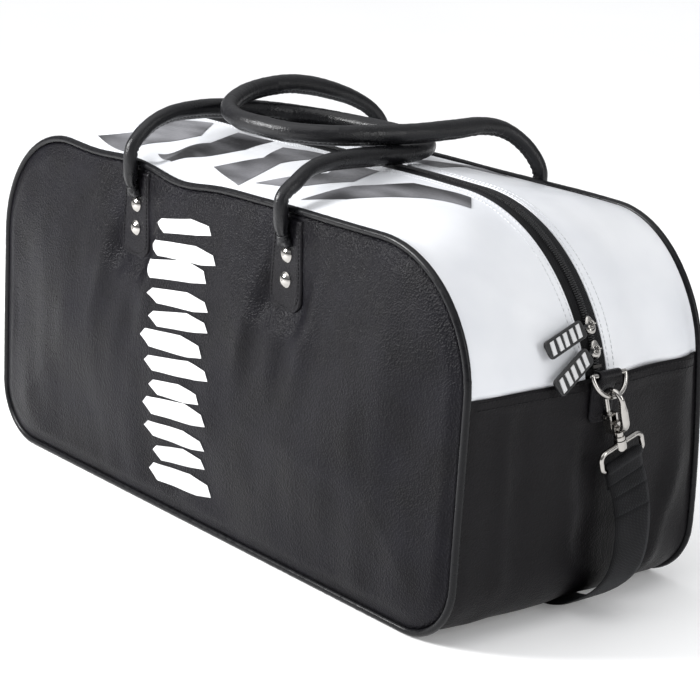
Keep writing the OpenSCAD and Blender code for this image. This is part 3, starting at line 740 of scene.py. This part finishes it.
def ribbon(name, pts, rolls, mat, width=STRAP_W, thick=1.7, offset=lambda i: 0.0, cols=10, along=0.0):
    """Webbing or leather with rounded selvedges. along is where its texture starts."""
    n = len(pts)
    ring = []
    for c in range(cols + 1):
        s = -1 + 2 * c / cols
        ring.append((s, 0.5 * math.sqrt(max(0, 1 - abs(s) ** 10)) + 0.12))
    verts, uvs = [], []
    dist = [along + v for v in distances(pts)]
    for i, p in enumerate(pts):
        d = (pts[min(i + 1, n - 1)] - pts[max(i - 1, 0)]).normalized()
        half = (width(i) if callable(width) else width) / 2
        a = math.radians(rolls[i])
        across = Vector((0, math.cos(a), math.sin(a)))
        out = d.cross(across).normalized()
        for sign in (1, -1):
            for s, h in ring[::sign]:
                verts.append(p + across * s * half + out * (offset(i) + sign * h * thick))
                uvs.append((s * half, dist[i]))
    return piece(name, verts, ring_faces(n, 2 * len(ring)), mat, uvs=uvs)


def make_strap(mats):
    """The strap from clip to clip, and near each clip two short lengths of it."""
    pts, rolls = strap_line()
    flip = [Vector((-p.x, p.y, p.z)) for p in pts]
    step = (pts[1] - pts[0]).length
    upper, middle = round(14 / step), round(30 / step)
    n = len(pts)

    def slide(i, sign=1):
        """How far the webbing lies off its own line near the fold."""
        return sign * 1.15 * (1 - ease(0, 70, i * step))

    main = ribbon("shoulder_strap", pts[middle:n - middle], rolls[middle:n - middle], mats["webbing"],
                  offset=lambda i: max(slide(i + middle), slide(n - 1 - middle - i)), along=middle * step)
    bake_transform(main)
    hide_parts("strap_webbing")
    parts = []
    for side, line, sign in (("right", pts, 1), ("left", flip, -1)):
        for label, first, last, near, far in (("upper", 0, upper, "eye_", "hook_"),
                                              ("middle", upper, middle, "hook_", "ring_")):
            part = ribbon(f"strap_{label}_{side}", line[first:last + 1], rolls[first:last + 1],
                          mats["webbing"], offset=lambda i: slide(i + first, sign), along=first * step)
            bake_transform(part)
            parts.append(part)
    return main, parts, pts[middle:n - middle]


make_camera()
MATS = materials()


# ---------------------------------------------------------------- the bag

def bag_body():
    sides = (("front", -1), ("rear", 1))
    for tag, lo, hi in (("front", -RIM, -12.3), ("rear", 12.3, RIM)):
        on(cloth_strip("top_" + tag, top_line, top_folds, depth_steps(lo, hi, 30), 1.8, MATS["pale"]),
           "bag", "pale_cloth", "top_panel_" + tag)
    on(cloth_strip("base_cloth", base_line, end_creases, depth_steps(-RIM, RIM, 64), 2.0, MATS["base"]),
       "bag", "leather", "base_strip")
    for tag, side in sides:
        on(side_panel(tag + "_side", side, MATS["panel"]), "bag", "leather", tag + "_panel")
    for tag, side in sides:
        on(piping("piping_" + tag, side, MATS["piping"]),
           "bag", "gloss_piping", tag + "_piping", tag + "_piping_cord")


def soft_lining():
    """The inner bag: closed, just inside the outer cloth."""
    rings = []
    for y in depth_steps(-122, 122, 20):
        k = crown(y)
        ring = top_line(k)[::4] + [(-x, z, math.pi - b) for x, z, b in reversed(base_line(k)[::4])][1:-1]
        rings.append([pushed(x, y, z, b, -8) for x, z, b in ring])
    verts = [p for ring in rings for p in ring]
    faces = ring_faces(len(rings), len(rings[0]))
    on(piece("inner_bag", verts, faces, MATS["lining"]), "bag", "lining", "lining")


def end_spot(side, y, down):
    """A point on the end, a distance below the border, and its outward way."""
    cx, cz, r = corner(crown(y))
    b = math.asin((BORDER_Z - cz) / r) - down / r
    x, z = cx + r * math.cos(b), cz + r * math.sin(b)
    return pushed(x, y, z, b, end_creases(x, y, z), side), (side * math.cos(b), 0, math.sin(b))


def seams():
    rows = [[end_spot(side, -127 + 254 * i / 70, down) for i in range(71)]
            for side in (1, -1) for down in (2.6, 8.6)]
    stitches("border_stitches", rows, MATS["black_thread"], 4.4, 3.3, 0.42)
    rows = [[(pushed(x, y, z, b, top_folds(x, y, z)), (math.cos(b), 0, math.sin(b)))
             for x, z, b in top_line(crown(y))] for y in (-14.6, -20.6, 14.6, 20.6)]
    stitches("zip_stitches", rows, MATS["white_thread"], 4.4, 3.3, 0.42)


def zip_line():
    """The zip's run from its low right end over the bag to the left: (x, z, outward angle)."""
    line = [(ARC_X + ZIP_R * math.cos(b), ARC_Z + ZIP_R * math.sin(b), b)
            for b in (math.radians(13.5 + 76.5 * i / 60) for i in range(61))]
    line += [(ARC_X * (1 - i / 50), SEAM_TOP + CROWN_TOP, math.pi / 2) for i in range(1, 51)]
    return line + [(-x, z, math.pi - b) for x, z, b in reversed(line[:-1])]


def zip_tapes(line):
    # across a tape: out from the middle, and its height
    profile = [(0.8, -0.9), (1.4, -0.5), (3.6, -0.5), (4.2, -1.0), (7.5, -1.1), (12.2, -0.9), (13.4, -1.9)]
    thick = 0.9
    section = profile + [(y, out - thick) for y, out in reversed(profile)]
    dist = distances([Vector((x, z)) for x, z, _ in line])
    for name, side in (("front", -1), ("rear", 1)):
        verts = [pushed(x, side * y, z, b, out) for x, z, b in line for y, out in section]
        uvs = [(y, d) for d in dist for y, _ in section]
        tape = piece("tape_" + name, verts, ring_faces(len(line), len(section)), MATS["tape"], uvs=uvs)
        on(tape, "bag", "zip_cloth", "zip_tape_" + name)


def zip_teeth(line):
    """Two rows of wound teeth, each tooth a short bent tube."""
    # along a tooth: out from the middle, height and radius
    loop = ((3.3, -0.3, 0.55), (2.9, 0.75, 0.62), (1.6, 1.15, 0.7), (0.1, 0.9, 0.72), (-0.5, 0.2, 0.6),
            (0.3, -0.5, 0.5))
    sides, raised = 5, 0.4
    run = even([Vector((x, 0, z)) for x, z, b in line], 1.0)
    inside = Vector((0, 0, HIGH / 2 - 5))
    for name, side, first in (("front", -1, 1), ("rear", 1, 2)):
        verts, faces = [], []
        for i in range(first, len(run) - 2, 2):
            c = run[i]
            d = (run[i + 1] - run[i - 1]).normalized()
            out = Vector((-d.z, 0, d.x))
            if out.dot(c - inside) < 0:
                out = -out
            faces += ring_faces(len(loop), sides, len(verts))
            for y, h, r in loop:
                for k in range(sides):
                    a = 2 * math.pi * k / sides
                    q = c + out * (h + raised + 0.9 * r * math.cos(a)) + d * 0.95 * r * math.sin(a)
                    verts.append(soft(q.x, side * y, q.z))
        on(piece("teeth_" + name, verts, faces, MATS["coil"]), "bag", "zip_coil", "zip_coil_" + name)


def slanted_bars():
    """Stack of plain slanted bars with cut ends, on the front panel."""
    polys = []
    for i in range(12):
        z = 28 + i * 20.6
        left = -64 + 7 * math.sin(i * 1.9)
        right = 17 + 6 * math.sin(i * 2.6 + 1)
        rise, thick = 5 + 3 * (i % 2), 13.5 + 2.5 * (i % 3 == 0)
        polys.append([(left + 6, z), (right - 20, z + rise - 1), (right, z + rise + 3),
                      (right - 5, z + rise + thick * 0.8), (right - 30, z + rise + thick),
                      (left, z + thick - 1), (left - 7, z + thick * 0.5)])
    bars = flat_decal("front_bars", polys, lambda x, z: panel_point(-1, x, z, 0.4), MATS["white"], 3.5)
    on(bars, "bag", "pale_cloth")


def top_spot(x, y):
    """A point just above plan position x on the top cloth."""
    cx, cz, r = corner(crown(y))
    side = 1 if x >= 0 else -1
    x, z, b = abs(x), cz + r, math.pi / 2
    if x > cx:
        # beyond the flat, x counts along the arc
        b -= (x - cx) / r
        x, z = cx + r * math.cos(b), cz + r * math.sin(b)
    return pushed(x, y, z, b, top_folds(side * x, y, z) + 0.45, side)


def top_shards():
    """Plain angular shapes printed on the top, dark to grey."""
    polys = [
        [(-208, -112), (-150, -124), (-120, -60), (-150, -24), (-196, -40), (-176, -74)],
        [(-118, -108), (-84, -118), (-52, -62), (-60, -24), (-104, -30), (-92, -70)],
        [(-46, -100), (18, -122), (8, -70), (30, -24), (-34, -34), (-18, -68)],
        [(28, -112), (66, -104), (100, -66), (84, -24), (44, -28), (62, -62)],
        [(96, -118), (132, -100), (176, -58), (214, -40), (196, -24), (140, -36), (110, -76)],
        [(-210, 30), (-150, 26), (-128, 70), (-160, 112), (-190, 100), (-170, 66)],
        [(-110, 28), (-60, 34), (-40, 84), (-70, 116), (-104, 90), (-84, 62)],
        [(-30, 30), (24, 26), (10, 74), (30, 116), (-22, 110), (-6, 70)],
        [(52, 28), (96, 34), (84, 76), (112, 108), (64, 116), (70, 70)],
    ]
    on(flat_decal("top_shards", polys, top_spot, MATS["ink"], 4.0), "bag", "pale_cloth")


# ---------------------------------------------------------------- handles

FRONT_ROUTE = [
    (-106, -145, 315), (-106, -138, 328), (-107, -122, 340), (-109, -100, 347), (-111, -70, 349),
    (-112, -40, 348), (-112, -10, 345), (-110, 15, 342), (-100, 38, 339), (-80, 55, 337), (-45, 66, 336),
    (0, 70, 336), (35, 64, 336), (60, 50, 336), (74, 30, 336), (79, 5, 336), (82, -25, 337), (86, -60, 338),
    (93, -90, 338), (99, -112, 335), (104, -130, 327), (106, -145, 315),
]
REAR_ROUTE = [
    (-106, 145, 315), (-105, 138, 328), (-105, 124, 340), (-105, 104, 350), (-105, 80, 358), (-106, 55, 364),
    (-107, 30, 367), (-107, 5, 366), (-103, -20, 363), (-92, -42, 360), (-76, -62, 357), (-52, -80, 356),
    (-25, -91, 355), (5, -93, 355), (35, -86, 354), (57, -70, 354), (71, -46, 354), (79, -15, 354),
    (84, 20, 354), (86, 55, 355), (88, 90, 356), (92, 115, 350), (100, 134, 335), (106, 145, 315),
]


def handle(name, side, route, under, nodes):
    """A rolled leather handle, its flap's edge a ridge at angle under."""
    foot = [(route[0][0], side * y, z) for y, z in ((139.8, 277), (141.8, 284), (144.3, 293))]
    back = [(route[-1][0], y, z) for _, y, z in reversed(foot)]
    path = spline(foot + list(route) + back, 2.4)
    n = len(path)
    dist = distances(path)
    axes = frames(path)
    bend = [Vector()] * n
    for i in range(1, n - 1):
        lo, hi = max(i - 3, 0), min(i + 3, n - 1)
        bend[i] = (path[hi] - path[i]).normalized() - (path[i] - path[lo]).normalized()

    def from_end(i):
        return min(dist[i], dist[-1] - dist[i])

    def outward(i, a):
        _, across, over = axes[i]
        return math.cos(a) * across + math.sin(a) * over

    def radius(i):
        leg, grip = 6.3, 7.9
        r = leg + (grip - leg) * ease(70, 150, from_end(i))
        return r * (1 + 0.018 * noise.noise(Vector((dist[i] / 18, side, 0))))

    def shape(i, a):
        s, way = from_end(i), outward(i, a)
        # the foot is flattened, wide along X and thin through Y, then drawn in
        flat = 1 - ease(2, 9, s)
        m = 1 + flat * (0.35 * abs(way.x) - 0.5 * abs(way.y))
        m *= 1 - 0.32 * ease(2, 8, s) * (1 - ease(9, 20, s))
        m += 0.07 * (1 - ease(10, 30, s)) * math.sin(7 * a + 1.3 * side)
        # the sewn flap
        gap = math.atan2(math.sin(a - under), math.cos(a - under))
        m += (1 - flat) * (0.26 * math.exp(-((gap / 0.17) ** 4)) - 0.05 * bump1(abs(gap), 0.42, 0.16))
        # wrinkles on the inside of each bend
        inner = way.dot(bend[i])
        if inner > 0:
            uneven = 2 * noise.noise(Vector((dist[i] / 9, 0, 1)))
            m -= 0.8 * inner * (0.5 + 0.5 * math.sin(dist[i] * 2 * math.pi / 6.5 + uneven))
        return m + 0.03 * noise.noise(Vector((dist[i] / 5, 2 * math.cos(a), 2 * math.sin(a) + side)))

    obj = piece(name, *tube(path, radius, 40, shape=shape), MATS["handle"])
    body = "front_handle" if side < 0 else "rear_handle"
    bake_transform(obj)
    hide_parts(*nodes)
    rows = []
    for a in (under - 0.46, under + 0.46):
        rows.append([(path[i] + radius(i) * shape(i, a) * outward(i, a), outward(i, a))
                     for i in range(24, n - 24)])
    stitches(name + "_thread", rows, MATS["black_thread"], 4.0, 2.9, 0.36, body=body)


def tab_row(j, fx, side):
    """One row of a handle tab, outer and inner points, j rows of 48 up from its round end."""
    low, tall, wide, round_r = 222, 77, 21, 13
    h = tall * j / 48
    z = low + h
    w = 8 + round_r * math.sqrt(max(0, 1 - ((round_r - h) / round_r) ** 2)) if h < round_r else wide
    w -= 3.5 * ease(240, low + tall, z)
    outer, inner = [], []
    for i in range(33):
        u = -1 + i / 16
        x = fx + u * w
        edge = min((1 - abs(u)) * w, h + 0.01, low + tall + 0.5 - z)
        y = 136.4 + 1.9 * ease(-0.4, 1.8, edge)
        y += 0.6 * rough(x, j, z, 14, side) * ease(0, 6, edge) * ease(262, 280, z)
        y -= 0.5 * bump1(edge, 3.6, 1.0)
        for rivet_z in (269, 248):
            y -= 0.5 * math.exp(-(math.hypot(x - fx, z - rivet_z) / 11) ** 4)
        outer.append((x, side * y, z))
        inner.append((x, side * 135.4, z))
    return outer, inner


def handle_feet(side, tag):
    """Each handle's two sewn and riveted tabs, with a wrapped collar where a tab becomes a tube."""
    for n, fx in enumerate((-FOOT_X, FOOT_X)):
        rows = [tab_row(j, fx, side) for j in range(49)]
        tab = piece(f"handle_tab_{tag}_{n}", *shell(*zip(*rows)), MATS["tab"])
        on(tab, "bag", "leather", tag + "_handle_tabs")
        face = side * 138.1
        left = [(fx - 14.3 - 3.1 * q / 20, face, 297 - 3 * q) for q in range(21)]
        low = [(fx + 17.4 * math.cos(a), face, 237 + 11.4 * math.sin(a))
               for a in (math.pi + math.pi * k / 24 for k in range(1, 24))]
        right = [(2 * fx - x, y, z) for x, y, z in reversed(left)]
        row = [(p, (0, side, 0)) for p in left + low + right]
        stitches(f"tab_stitches_{tag}_{n}", [row], MATS["black_thread"], 3.6, 2.6, 0.32)
        path = [(fx, side * (141.2 + 0.17 * k), 281 + 0.5 * k) for k in range(11)]
        turns = tube(path, lambda i: 4.6 + 0.5 * abs(math.sin(0.3 * math.pi * i)), 32,
                     shape=lambda i, a: 1 + 0.12 * math.cos(a) ** 2 + 0.03 * math.sin(5 * a + i * 0.5))
        on(piece(f"collar_{tag}_{n}", *turns, MATS["handle"]), "bag", "leather", tag + "_handle_collars")


# ---------------------------------------------------------------- clips and zip hardware

def hook_point(side, x, y, z):
    """From the hanging hook's own axes to the shared frame."""
    c, s = math.cos(HOOK_TILT), math.sin(HOOK_TILT)
    p = RING_LOW + Vector((x, y * c - z * s, y * s + z * c))
    return Vector((p.x if side == "right" else -p.x, p.y, p.z))


def strap_folds():
    """The strap's end sewn round the bar of each swivel eye."""
    made = []
    thick, bend, bar_z = 1.15, 3.45, -57
    for side in ("right", "left"):
        pts = [(-thick, -76 + 2 * i) for i in range(8)]
        pts += arc(bend, 208, -236, 22, bar_z)
        pts += [(thick, -61 - i) for i in range(11)]
        line = [hook_point(side, x, 0, z) for x, z in pts]
        total = distances(line)[-1]
        line = even(line, 1.5)
        obj = ribbon("strap_fold_" + side, line, [HOOK_ROLL] * len(line), MATS["webbing"], along=-total)
        made.append(on(obj, "eye_" + side, "webbing", "strap_end_" + side))
    return made


def arc_point(deg, x, y, z):
    """From the axes of a slider on the end curve to the shared frame."""
    c, s = math.cos(math.radians(deg)), math.sin(math.radians(deg))
    return Vector((ARC_X + x * c - z * s, y, ARC_Z + x * s + z * c))


def merge(*meshes):
    verts, faces = [], []
    for vs, fs in meshes:
        n = len(verts)
        verts += list(vs)
        faces += [tuple(n + k for k in f) for f in fs]
    return verts, faces


def plate(outline, steps):
    """Solid of stacked outlines. outline(inset) gives 2-D points, steps are (inset, height)."""
    rings = [[(h, *p) for p in outline(inset)] for inset, h in steps]
    return [p for r in rings for p in r], ring_faces(len(rings), len(rings[0]))


def pear(inset):
    """Outline of a zip slider, narrower at its top."""
    pts = []
    for i in range(40):
        a = 2 * math.pi * i / 40
        z = 7.4 * math.cos(a)
        y = 5.4 * (1 - 0.30 * ease(-3, 7.4, z)) * math.copysign(abs(math.sin(a)) ** 0.8, math.sin(a))
        pts.append((y * (1 - inset), z * (1 - inset)))
    return pts


def lifted(steps, base):
    return [(inset, base + h) for inset, h in steps]


def zip_sliders():
    top = [(0.06, 1.9), (0, 2.3), (0, 3.0), (0.08, 3.7), (0.22, 4.3), (0.45, 4.75), (0.75, 4.95)]
    under = [(0.05, -5.1), (0, -4.6), (0, -3.6), (0.05, -3.1)]
    foot = [(0, 4.4), (0.1, 5.0), (0.45, 5.6)]
    ring = [p + Vector((ZIP_R + TAG_OUT, 0, 0)) for p in circle(1.65, 24)]
    mesh = merge(plate(pear, lifted(top, ZIP_R)),
                 tube(ring, 0.55, 10, closed=True, first=Vector((0, 0, 1))),
                 plate(lambda q: [(1.5 * p.x * (1 - q), 2.6 * p.y * (1 - q)) for p in circle(1, 20)],
                       lifted(foot, ZIP_R)),
                 plate(pear, lifted(under, ZIP_R)))
    for tag, body in (("a", "upper_slider"), ("b", "lower_slider")):
        verts = [arc_point(SLIDERS[tag], *v) for v in mesh[0]]
        on(piece("slider_" + tag + "_body", verts, mesh[1], MATS["metal"]),
           body, "polished_metal", "slider_" + tag)


def tag_slab(inset):
    """Rounded rectangle of a puller tag."""
    r, near, far, half = 3.6, 6.2, 52, 7.5
    pts = []
    for cy, cz, start in ((far - r, half - r, 0), (near + r, half - r, 90),
                          (near + r, r - half, 180), (far - r, r - half, 270)):
        for i in range(7):
            a = math.radians(start + 15 * i)
            pts.append((cy + (r - inset) * math.cos(a), cz + (r - inset) * math.sin(a)))
    return pts


def tag_bar(i):
    """One raised slanted bar of a tag."""
    y, lean, half, wide = 10.2 + 8.1 * i, 1.7 if i % 2 else 2.6, 5.2, 4.4
    corners = [(y, -half), (y + wide, -half), (y + wide + lean, half), (y + lean, half)]
    mid = sum(p[0] for p in corners) / 4
    return plate(lambda q: [(mid + (y - mid) * (1 - q), z * (1 - 0.45 * q)) for y, z in corners],
                 [(0, 1.2), (0, 2.0), (0.07, 2.3), (0.2, 2.45)])


def zip_tags():
    slab = plate(tag_slab, [(0.7, -1.5), (0.15, -1.15), (0, -0.6), (0, 0.9), (0.25, 1.45), (0.6, 1.7),
                            (1.1, 1.7), (1.4, 1.25)])
    neck = plate(lambda q: [(8.2 - q, 1.3 - q), (2.4, 1.3 - q), (2.4, q - 1.3), (8.2 - q, q - 1.3)],
                 [(0.2, -1.5), (0, -1.2), (0, 1.2), (0.2, 1.5)])
    eye = tube(circle(2.3, 24), 0.6, 12, closed=True, first=Vector((0, 0, 1)))
    bars = merge(*(tag_bar(i) for i in range(5)))
    for tag, drop, body in (("a", 17, "upper_tag"), ("b", 29, "lower_tag")):
        c, s = math.cos(math.radians(180 + drop)), math.sin(math.radians(180 + drop))

        def place(mesh):
            return [arc_point(SLIDERS[tag], ZIP_R + TAG_OUT + x, TAG_Y + y * c - z * s, y * s + z * c)
                    for x, y, z in mesh[0]], mesh[1]

        on(piece("tag_" + tag + "_body", *place(merge(slab, neck, eye)), MATS["tag"]),
           body, "tag_rubber", "puller_tag_" + tag)
        on(piece("tag_" + tag + "_bars", *place(bars), MATS["white"]), body, "tag_white", "tag_bars_" + tag)


def hook_bows():
    """The cast bow: slim at the ring, full along its back."""
    r, top, low = 8.5, -3, -20
    pts = arc(r, 166, -166, 30, top)
    pts += [(r, top + (low - top) * i / 14) for i in range(1, 15)]
    pts += arc(r, 0, -90, 16, low)[1:]
    line = even([Vector((x, 0, z)) for x, z in pts], 0.8)
    n = len(line)

    def thick(i):
        return 2.35 + 1.35 * ease(0.42, 0.62, i / n) * ease(1.0, 0.82, i / n)

    for side in ("right", "left"):
        bow = tube([hook_point(side, *p) for p in line], thick, 20, first=Vector((0, 1, 0)))
        on(piece("hook_bow_" + side, *bow, MATS["metal"]),
           "hook_" + side, "polished_metal", "snap_hook_" + side)


def loop_tabs():
    """Leather loop sewn below the border, round the bar of the D ring."""
    pts = [(-5.6, -40), (-5.6, -30), (-5.6, -18), (-5.3, -10), (-4.4, -4)]
    pts += arc(3.0, 205, -250, 24)
    pts += [(-0.6, -5.8), (-3.4, -9.5), (-4.6, -14), (-4.75, -22), (-4.75, -30), (-4.75, -36)]
    step = 0.9
    for side, m in (("right", 1), ("left", -1)):
        line = spline([Vector((m * (RING_X + x), RING_Y, RING_Z + z)) for x, z in pts], step)
        n = len(line)

        def wide(i):
            low = min(i, n - 1 - i) * step
            return 25 - 7 * (1 - ease(0, 6, low)) ** 2 - 1.2 * bump1(i, n * 0.55, n * 0.1)

        loop = ribbon("loop_tab_" + side, line, [0] * n, MATS["tab"], wide, 1.0, cols=16)
        on(loop, "bag", "leather", "ring_tab_" + side)
        rows = [[(y, -12 - 1.5 * q) for q in range(15)] for y in (-9.6, 9.6)]
        rows.append([(q - 8, -33.5) for q in range(17)])
        face = m * (RING_X - 4.25)
        rows = [[((face, RING_Y + y, RING_Z + z), (m, 0, 0)) for y, z in row] for row in rows]
        stitches("loop_stitches_" + side, rows, MATS["black_thread"], 3.4, 2.5, 0.3)


def carried_over():
    """CAD nodes that stay, each with its finished material."""
    ends = ("d_ring_", "hook_stem_", "hook_gate_", "gate_pin_", "swivel_eye_")
    metal_nodes = [part + side for part in ends for side in ("right", "left")]
    metal_nodes += ["front_rivets", "rear_rivets", "front_rivet_washers", "rear_rivet_washers",
                    "zip_end_stops", "strap_adjuster", "puller_ring_a", "puller_ring_b"]
    for name in metal_nodes + ["base_board"]:
        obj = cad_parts[name]
        if obj.hide_render:
            continue
        mat = MATS["tag" if name == "base_board" else "metal"]
        if not obj.material_slots:
            obj.data.materials.append(mat)
        for slot in obj.material_slots:
            slot.material = mat


# ---------------------------------------------------------------- studio

def area_light(name, spot, aim, size, power):
    data = bpy.data.lights.new(name, "AREA")
    data.shape = "RECTANGLE"
    data.size, data.size_y = size
    data.energy = power
    obj = bpy.data.objects.new(name, data)
    bpy.context.scene.collection.objects.link(obj)
    way = Vector(aim) - Vector(spot)
    obj.location = spot
    obj.rotation_euler = way.to_track_quat("-Z", "Y").to_euler()


def studio():
    world = bpy.data.worlds.new("studio")
    world.use_nodes = True
    nodes, links = world.node_tree.nodes, world.node_tree.links
    coord, split, ramp = (nodes.new("ShaderNode" + k) for k in ("TexCoord", "SeparateXYZ", "ValToRGB"))
    ramp.color_ramp.elements[0].position, ramp.color_ramp.elements[0].color = 0.08, (0.13, 0.13, 0.135, 1)
    ramp.color_ramp.elements[1].position, ramp.color_ramp.elements[1].color = 0.75, (0.85, 0.86, 0.88, 1)
    links.new(coord.outputs["Generated"], split.inputs["Vector"])
    links.new(split.outputs["Z"], ramp.inputs["Fac"])
    links.new(ramp.outputs["Color"], nodes["Background"].inputs["Color"])
    nodes["Background"].inputs["Strength"].default_value = 0.8
    bpy.context.scene.world = world
    bpy.context.scene.view_settings.view_transform = "Standard"
    floor = Mat("studio_floor", (0.9, 0.9, 0.9), 0.9, Emission_Color=(1, 1, 1, 1), Emission_Strength=0.13)
    floor.vary("Base Color", 2, 2, (0.89, 0.89, 0.89), (0.91, 0.91, 0.91))
    mesh = bpy.data.meshes.new("floor")
    r = 60
    mesh.from_pydata([(-r, -r, 0), (r, -r, 0), (r, r, 0), (-r, r, 0)], [], [(0, 1, 2, 3)])
    obj = bpy.data.objects.new("floor", mesh)
    bpy.context.scene.collection.objects.link(obj)
    obj.data.materials.append(floor.mat)
    sun = bpy.data.lights.new("overhead", "SUN")
    sun.energy = 1.35
    sun.angle = math.radians(70)
    obj = bpy.data.objects.new("overhead", sun)
    obj.rotation_euler = (math.radians(20), math.radians(-6), 0)
    bpy.context.scene.collection.objects.link(obj)
    area_light("key_front", (-0.65, -1.3, 0.85), (0.15, -0.1, 0.25), (0.45, 0.45), 38)
    area_light("right_box", (2.0, 0.5, 0.9), (0.2, 0, 0.15), (0.7, 1.1), 12)


strap, strap_parts, strap_path = make_strap(MATS)
strap_parts += strap_folds()
bag_body()
soft_lining()
seams()
zip_tapes(zip_line())
zip_teeth(zip_line())
slanted_bars()
top_shards()
handle("handle_front", -1, FRONT_ROUTE, math.pi / 2,
       ["front_handle_grip", "front_handle_rope", "front_handle_legs"])
handle("handle_rear", 1, REAR_ROUTE, -math.pi / 2,
       ["rear_handle_grip", "rear_handle_rope", "rear_handle_legs"])
handle_feet(-1, "front")
handle_feet(1, "rear")
zip_sliders()
zip_tags()
hook_bows()
loop_tabs()
carried_over()
studio()
